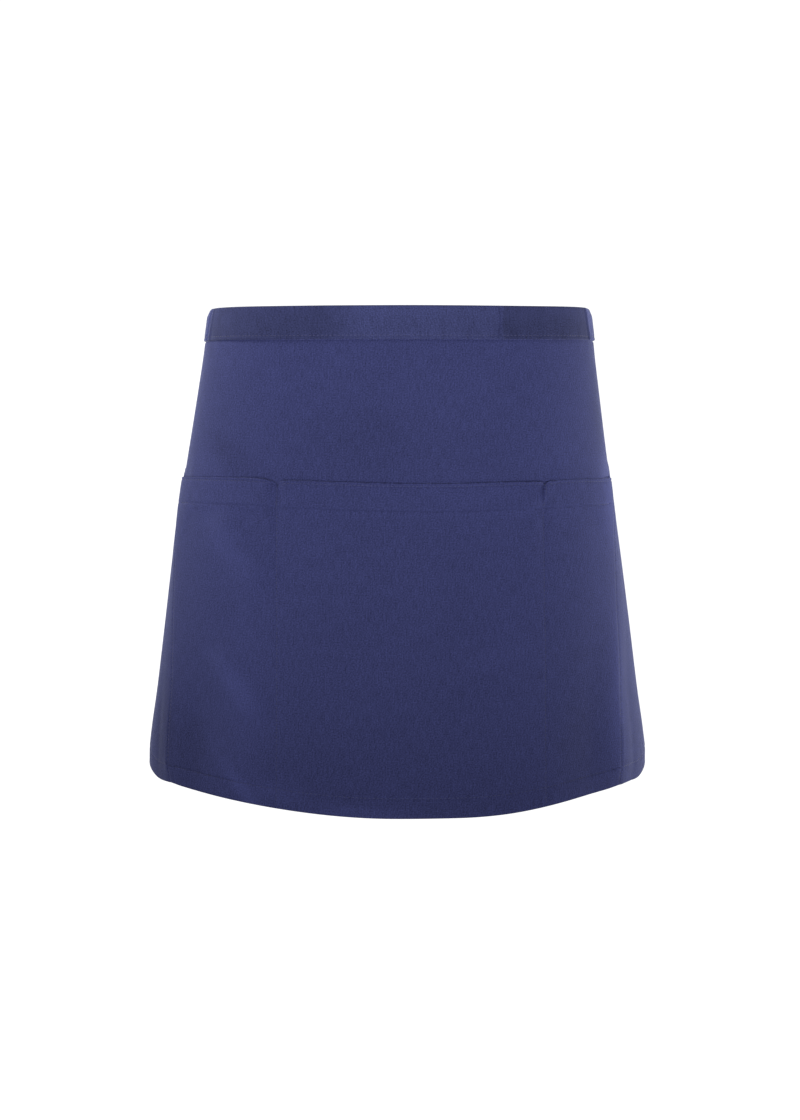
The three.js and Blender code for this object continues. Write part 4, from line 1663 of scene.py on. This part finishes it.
class APRON_OT_stitching(Operator):
    """Sew every seam: model one stitch and set it along each row"""

    bl_idname = "apron.stitching"
    bl_label = "Stitching"

    SIDES = 6
    CUTS = (-0.38, -0.2, 0.2, 0.38)

    # A stitch thins towards its ends, lies flat, and dips into the cloth there.
    THINS = 0.82
    FLAT = 0.8
    DIPS = 0.55

    def one_stitch(self, long, thick):
        """Vertices and faces of a single stitch, lying along X with its back up."""
        deselect()
        bpy.ops.mesh.primitive_cylinder_add(vertices=self.SIDES, radius=thick / 2, depth=long)
        stitch = bpy.context.object
        bpy.ops.object.mode_set(mode="EDIT")
        bpy.ops.mesh.select_all(action="SELECT")
        bpy.ops.transform.rotate(value=math.pi / 2, orient_axis="Y", center_override=(0, 0, 0))
        for cut in self.CUTS:
            bpy.ops.mesh.select_all(action="SELECT")
            bpy.ops.mesh.bisect(plane_co=(cut * long, 0, 0), plane_no=(1, 0, 0))
        bpy.ops.object.mode_set(mode="OBJECT")
        points = places_of(stitch.data)
        reach = np.abs(points[:, 0]) / (long / 2)
        slim = np.sqrt(np.clip(1 - self.THINS * reach**3, 0.05, 1))
        points[:, 1] = points[:, 1] * slim
        points[:, 2] = points[:, 2] * slim * self.FLAT - self.DIPS * thick * reach**2.2
        faces = [list(face.vertices) for face in stitch.data.polygons]
        bpy.data.objects.remove(stitch, do_unlink=True)
        return points, faces

    def sew(self, name, rows, model, material, slot):
        """One mesh of all the stitches in rows of (from, to, outward) places."""
        points, faces = model
        start, stop, outward = (np.concatenate(part) for part in zip(*rows))
        middle = (start + stop) / 2
        run = unit(stop - start)
        beside = unit(np.cross(outward, run))
        up = np.cross(run, beside)
        laid = middle[:, None, :] + points[None, :, 0:1] * run[:, None, :]
        laid = laid + points[None, :, 1:2] * beside[:, None, :] + points[None, :, 2:3] * up[:, None, :]
        count = len(points)
        joined = [[k * count + i for i in face] for k in range(len(middle)) for face in faces]
        mesh = bpy.data.meshes.new(name)
        mesh.from_pydata((laid.reshape(-1, 3) * MM).tolist(), [], joined)
        piece = bpy.data.objects.new(name, mesh)
        bpy.context.collection.objects.link(piece)
        select_only(piece)
        face_outward(THREAD_ANGLE)
        return finish_piece(piece, material, slot)

    def execute(self, context):
        sizes = context.scene.apron_sizes
        apron = Apron(sizes)
        seams = Seams(apron, sizes)
        model = self.one_stitch(seams.length, seams.thick)
        sewn = (model, thread(context))
        panel_stitches = self.sew("panel_stitches", seams.of_panel(), *sewn, "navy_twill")
        pocket_stitches = self.sew("pocket_stitches", seams.of_pocket(), *sewn, "navy_twill")
        band_stitches = self.sew("band_stitches", seams.of_band(), *sewn, "navy_band")
        self.declare(apron, panel_stitches, pocket_stitches, band_stitches)
        return {"FINISHED"}

    def declare(self, apron, panel_stitches, pocket_stitches, band_stitches):
        """Works out what each cloth was cut to, but keeps none of it."""
        hem = apron.hem + apron.TUCK
        tall = apron.depth + apron.pocket_hem + hem
        tall * MM
        spans = {"left": apron.tie_reach + apron.seam, "right": apron.tie_reach - apron.seam}
        for name, span in spans.items():
            span * MM
            [band_stitches] if name == "left" else []


class APRON_OT_stage(Operator):
    """Set the floor, the lights and the camera"""

    bl_idname = "apron.stage"
    bl_label = "Stage"

    # The floor's height, and how far out it fades into the white all round. Metres, as all lengths here.
    FLOOR = -1.2
    FADE = (0.9, 1.75)
    FLOOR_TONES = ((0.86, 0.86, 0.87, 1), (0.9, 0.9, 0.9, 1))
    FLOOR_GLOW = 0.25

    FILL_COLOUR = (0.97, 0.98, 1.0, 1.0)
    WHITE = (1.0, 1.0, 1.0, 1.0)
    WHITE_SEEN = 1.1

    CAMERA = (0.00114, -1.22, -0.05453)
    PITCH = 4.32
    SENSOR = 36
    CLIP = (0.05, 60)

    # Each light's size, its place, what it is turned to, and its spread in degrees.
    LIGHTS = {
        "key": ((0.9, 0.4), (0.0, -1.0, -0.15), (0, -0.07, 0.11), 72),
        "left": ((0.3, 0.5), (-0.62, 0.1, 0.3), (-0.11, 0, 0.03), 60),
        "right": ((0.3, 0.5), (0.7, 0.14, -0.06), (0.11, 0, -0.09), 80),
        "low_left": ((0.3, 0.5), (-0.62, 0.34, -0.1), (-0.12, 0, -0.1), 180),
        "low_right": ((0.3, 0.5), (0.62, 0.34, -0.25), (0.12, 0, -0.2), 180),
        "back": ((1.4, 0.8), (0, 1.3, 0.9), (0, 0.05, -0.1), 180),
    }

    def soft_light(self, name, power, size, place, aim, spread):
        deselect()
        bpy.ops.object.light_add(type="AREA", location=place)
        light = bpy.context.object
        light.name = name
        light.data.shape = "RECTANGLE"
        light.data.size, light.data.size_y = size
        light.data.energy = power
        light.data.spread = math.radians(spread)
        towards = np.array(aim) - np.array(place)
        flat = math.hypot(towards[0], towards[1])
        light.rotation_euler = (math.atan2(flat, -towards[2]), 0, math.atan2(-towards[0], towards[1]))
        light.visible_camera = False

    def floor_finish(self):
        """A pale floor that fades out all round."""
        pale = Finish("pale_floor")
        place = pale.node("ShaderNodeTexCoord", None, None, "Object")
        grain = pale.node("ShaderNodeTexNoise", None, {"Vector": place, "Scale": 3.0, "Detail": 2.0})
        pale.set("Base Color", pale.blend(grain, *self.FLOOR_TONES))
        pale.set("Roughness", 0.9)
        pale.set("Specular IOR Level", 0.0)
        pale.set("Emission Color", self.WHITE)
        pale.set("Emission Strength", self.FLOOR_GLOW)
        level = pale.node("ShaderNodeVectorMath", {"operation": "MULTIPLY"}, {0: place, 1: (1, 1, 0)})
        away = pale.node("ShaderNodeVectorMath", {"operation": "LENGTH"}, {0: level}, "Value")
        clear = pale.node("ShaderNodeBsdfTransparent")
        cover = {0: pale.step(away, *self.FADE), 1: pale.whole(), 2: clear}
        pale.finish_with(pale.node("ShaderNodeMixShader", None, cover))
        return pale.material

    def lay_floor(self):
        deselect()
        bpy.ops.mesh.primitive_circle_add(
            vertices=96, radius=self.FADE[1], fill_type="NGON", location=(0, 0, self.FLOOR)
        )
        floor = new_piece("floor")
        bpy.ops.object.transform_apply(location=True, rotation=True, scale=True)
        floor.data.materials.append(self.floor_finish())

    def surround(self, fill_strength):
        """Even light from all round, which the camera sees as white."""
        world = bpy.data.worlds.new("studio")
        world.use_nodes = True
        tree = world.node_tree
        fill = tree.nodes["Background"]
        fill.inputs["Color"].default_value = self.FILL_COLOUR
        fill.inputs["Strength"].default_value = fill_strength
        white = tree.nodes.new("ShaderNodeBackground")
        white.inputs["Color"].default_value = self.WHITE
        white.inputs["Strength"].default_value = self.WHITE_SEEN
        seen = tree.nodes.new("ShaderNodeLightPath")
        either = tree.nodes.new("ShaderNodeMixShader")
        tree.links.new(seen.outputs["Is Camera Ray"], either.inputs[0])
        tree.links.new(fill.outputs[0], either.inputs[1])
        tree.links.new(white.outputs[0], either.inputs[2])
        tree.links.new(either.outputs[0], tree.nodes["World Output"].inputs["Surface"])
        return world

    def set_camera(self, lens):
        deselect()
        bpy.ops.object.camera_add(location=self.CAMERA, rotation=(math.radians(90 - self.PITCH), 0, 0))
        camera = bpy.context.object
        camera.name = "camera"
        camera.data.lens = lens
        camera.data.sensor_width = self.SENSOR
        camera.data.sensor_fit = "AUTO"
        camera.data.clip_start, camera.data.clip_end = self.CLIP
        return camera

    def execute(self, context):
        scene = context.scene
        stage = scene.apron_stage
        self.lay_floor()
        scene.world = self.surround(stage.fill)
        for name, (size, place, aim, spread) in self.LIGHTS.items():
            self.soft_light(name, getattr(stage, name), size, place, aim, spread)
        scene.camera = self.set_camera(stage.lens)
        scene.view_settings.view_transform = "Standard"
        scene.view_settings.look = "None"
        return {"FINISHED"}


class APRON_PT_sidebar(Panel):
    """The apron's sizes, colours and making steps"""

    bl_idname = "APRON_PT_sidebar"
    bl_label = "Waist apron"
    bl_space_type = "VIEW_3D"
    bl_region_type = "UI"
    bl_category = "Apron"

    def draw(self, context):
        layout = self.layout
        for name in GROUPS:
            group = getattr(context.scene, name)
            box = layout.box()
            for value in group.__annotations__:
                box.prop(group, value)
        for operator in OPERATORS:
            layout.operator(operator.bl_idname)


OPERATORS = (
    APRON_OT_skirt_panel,
    APRON_OT_pocket,
    APRON_OT_waistband,
    APRON_OT_tie_knot,
    APRON_OT_tie_ends,
    APRON_OT_stitching,
    APRON_OT_stage,
)
GROUPS = {"apron_sizes": ApronSizes, "apron_colours": ApronColours, "apron_stage": ApronStage}


def register():
    for cls in (*GROUPS.values(), *OPERATORS, APRON_PT_sidebar):
        bpy.utils.register_class(cls)
    for name, group in GROUPS.items():
        setattr(bpy.types.Scene, name, PointerProperty(type=group))


def unregister():
    for name in GROUPS:
        delattr(bpy.types.Scene, name)
    for cls in reversed((*GROUPS.values(), *OPERATORS, APRON_PT_sidebar)):
        bpy.utils.unregister_class(cls)


def main():
    register()
    bpy.ops.apron.skirt_panel()
    bpy.ops.apron.pocket()
    bpy.ops.apron.waistband()
    bpy.ops.apron.tie_knot()
    bpy.ops.apron.tie_ends()
    bpy.ops.apron.stitching()
    bpy.ops.apron.stage()


if __name__ == "__main__":
    main()
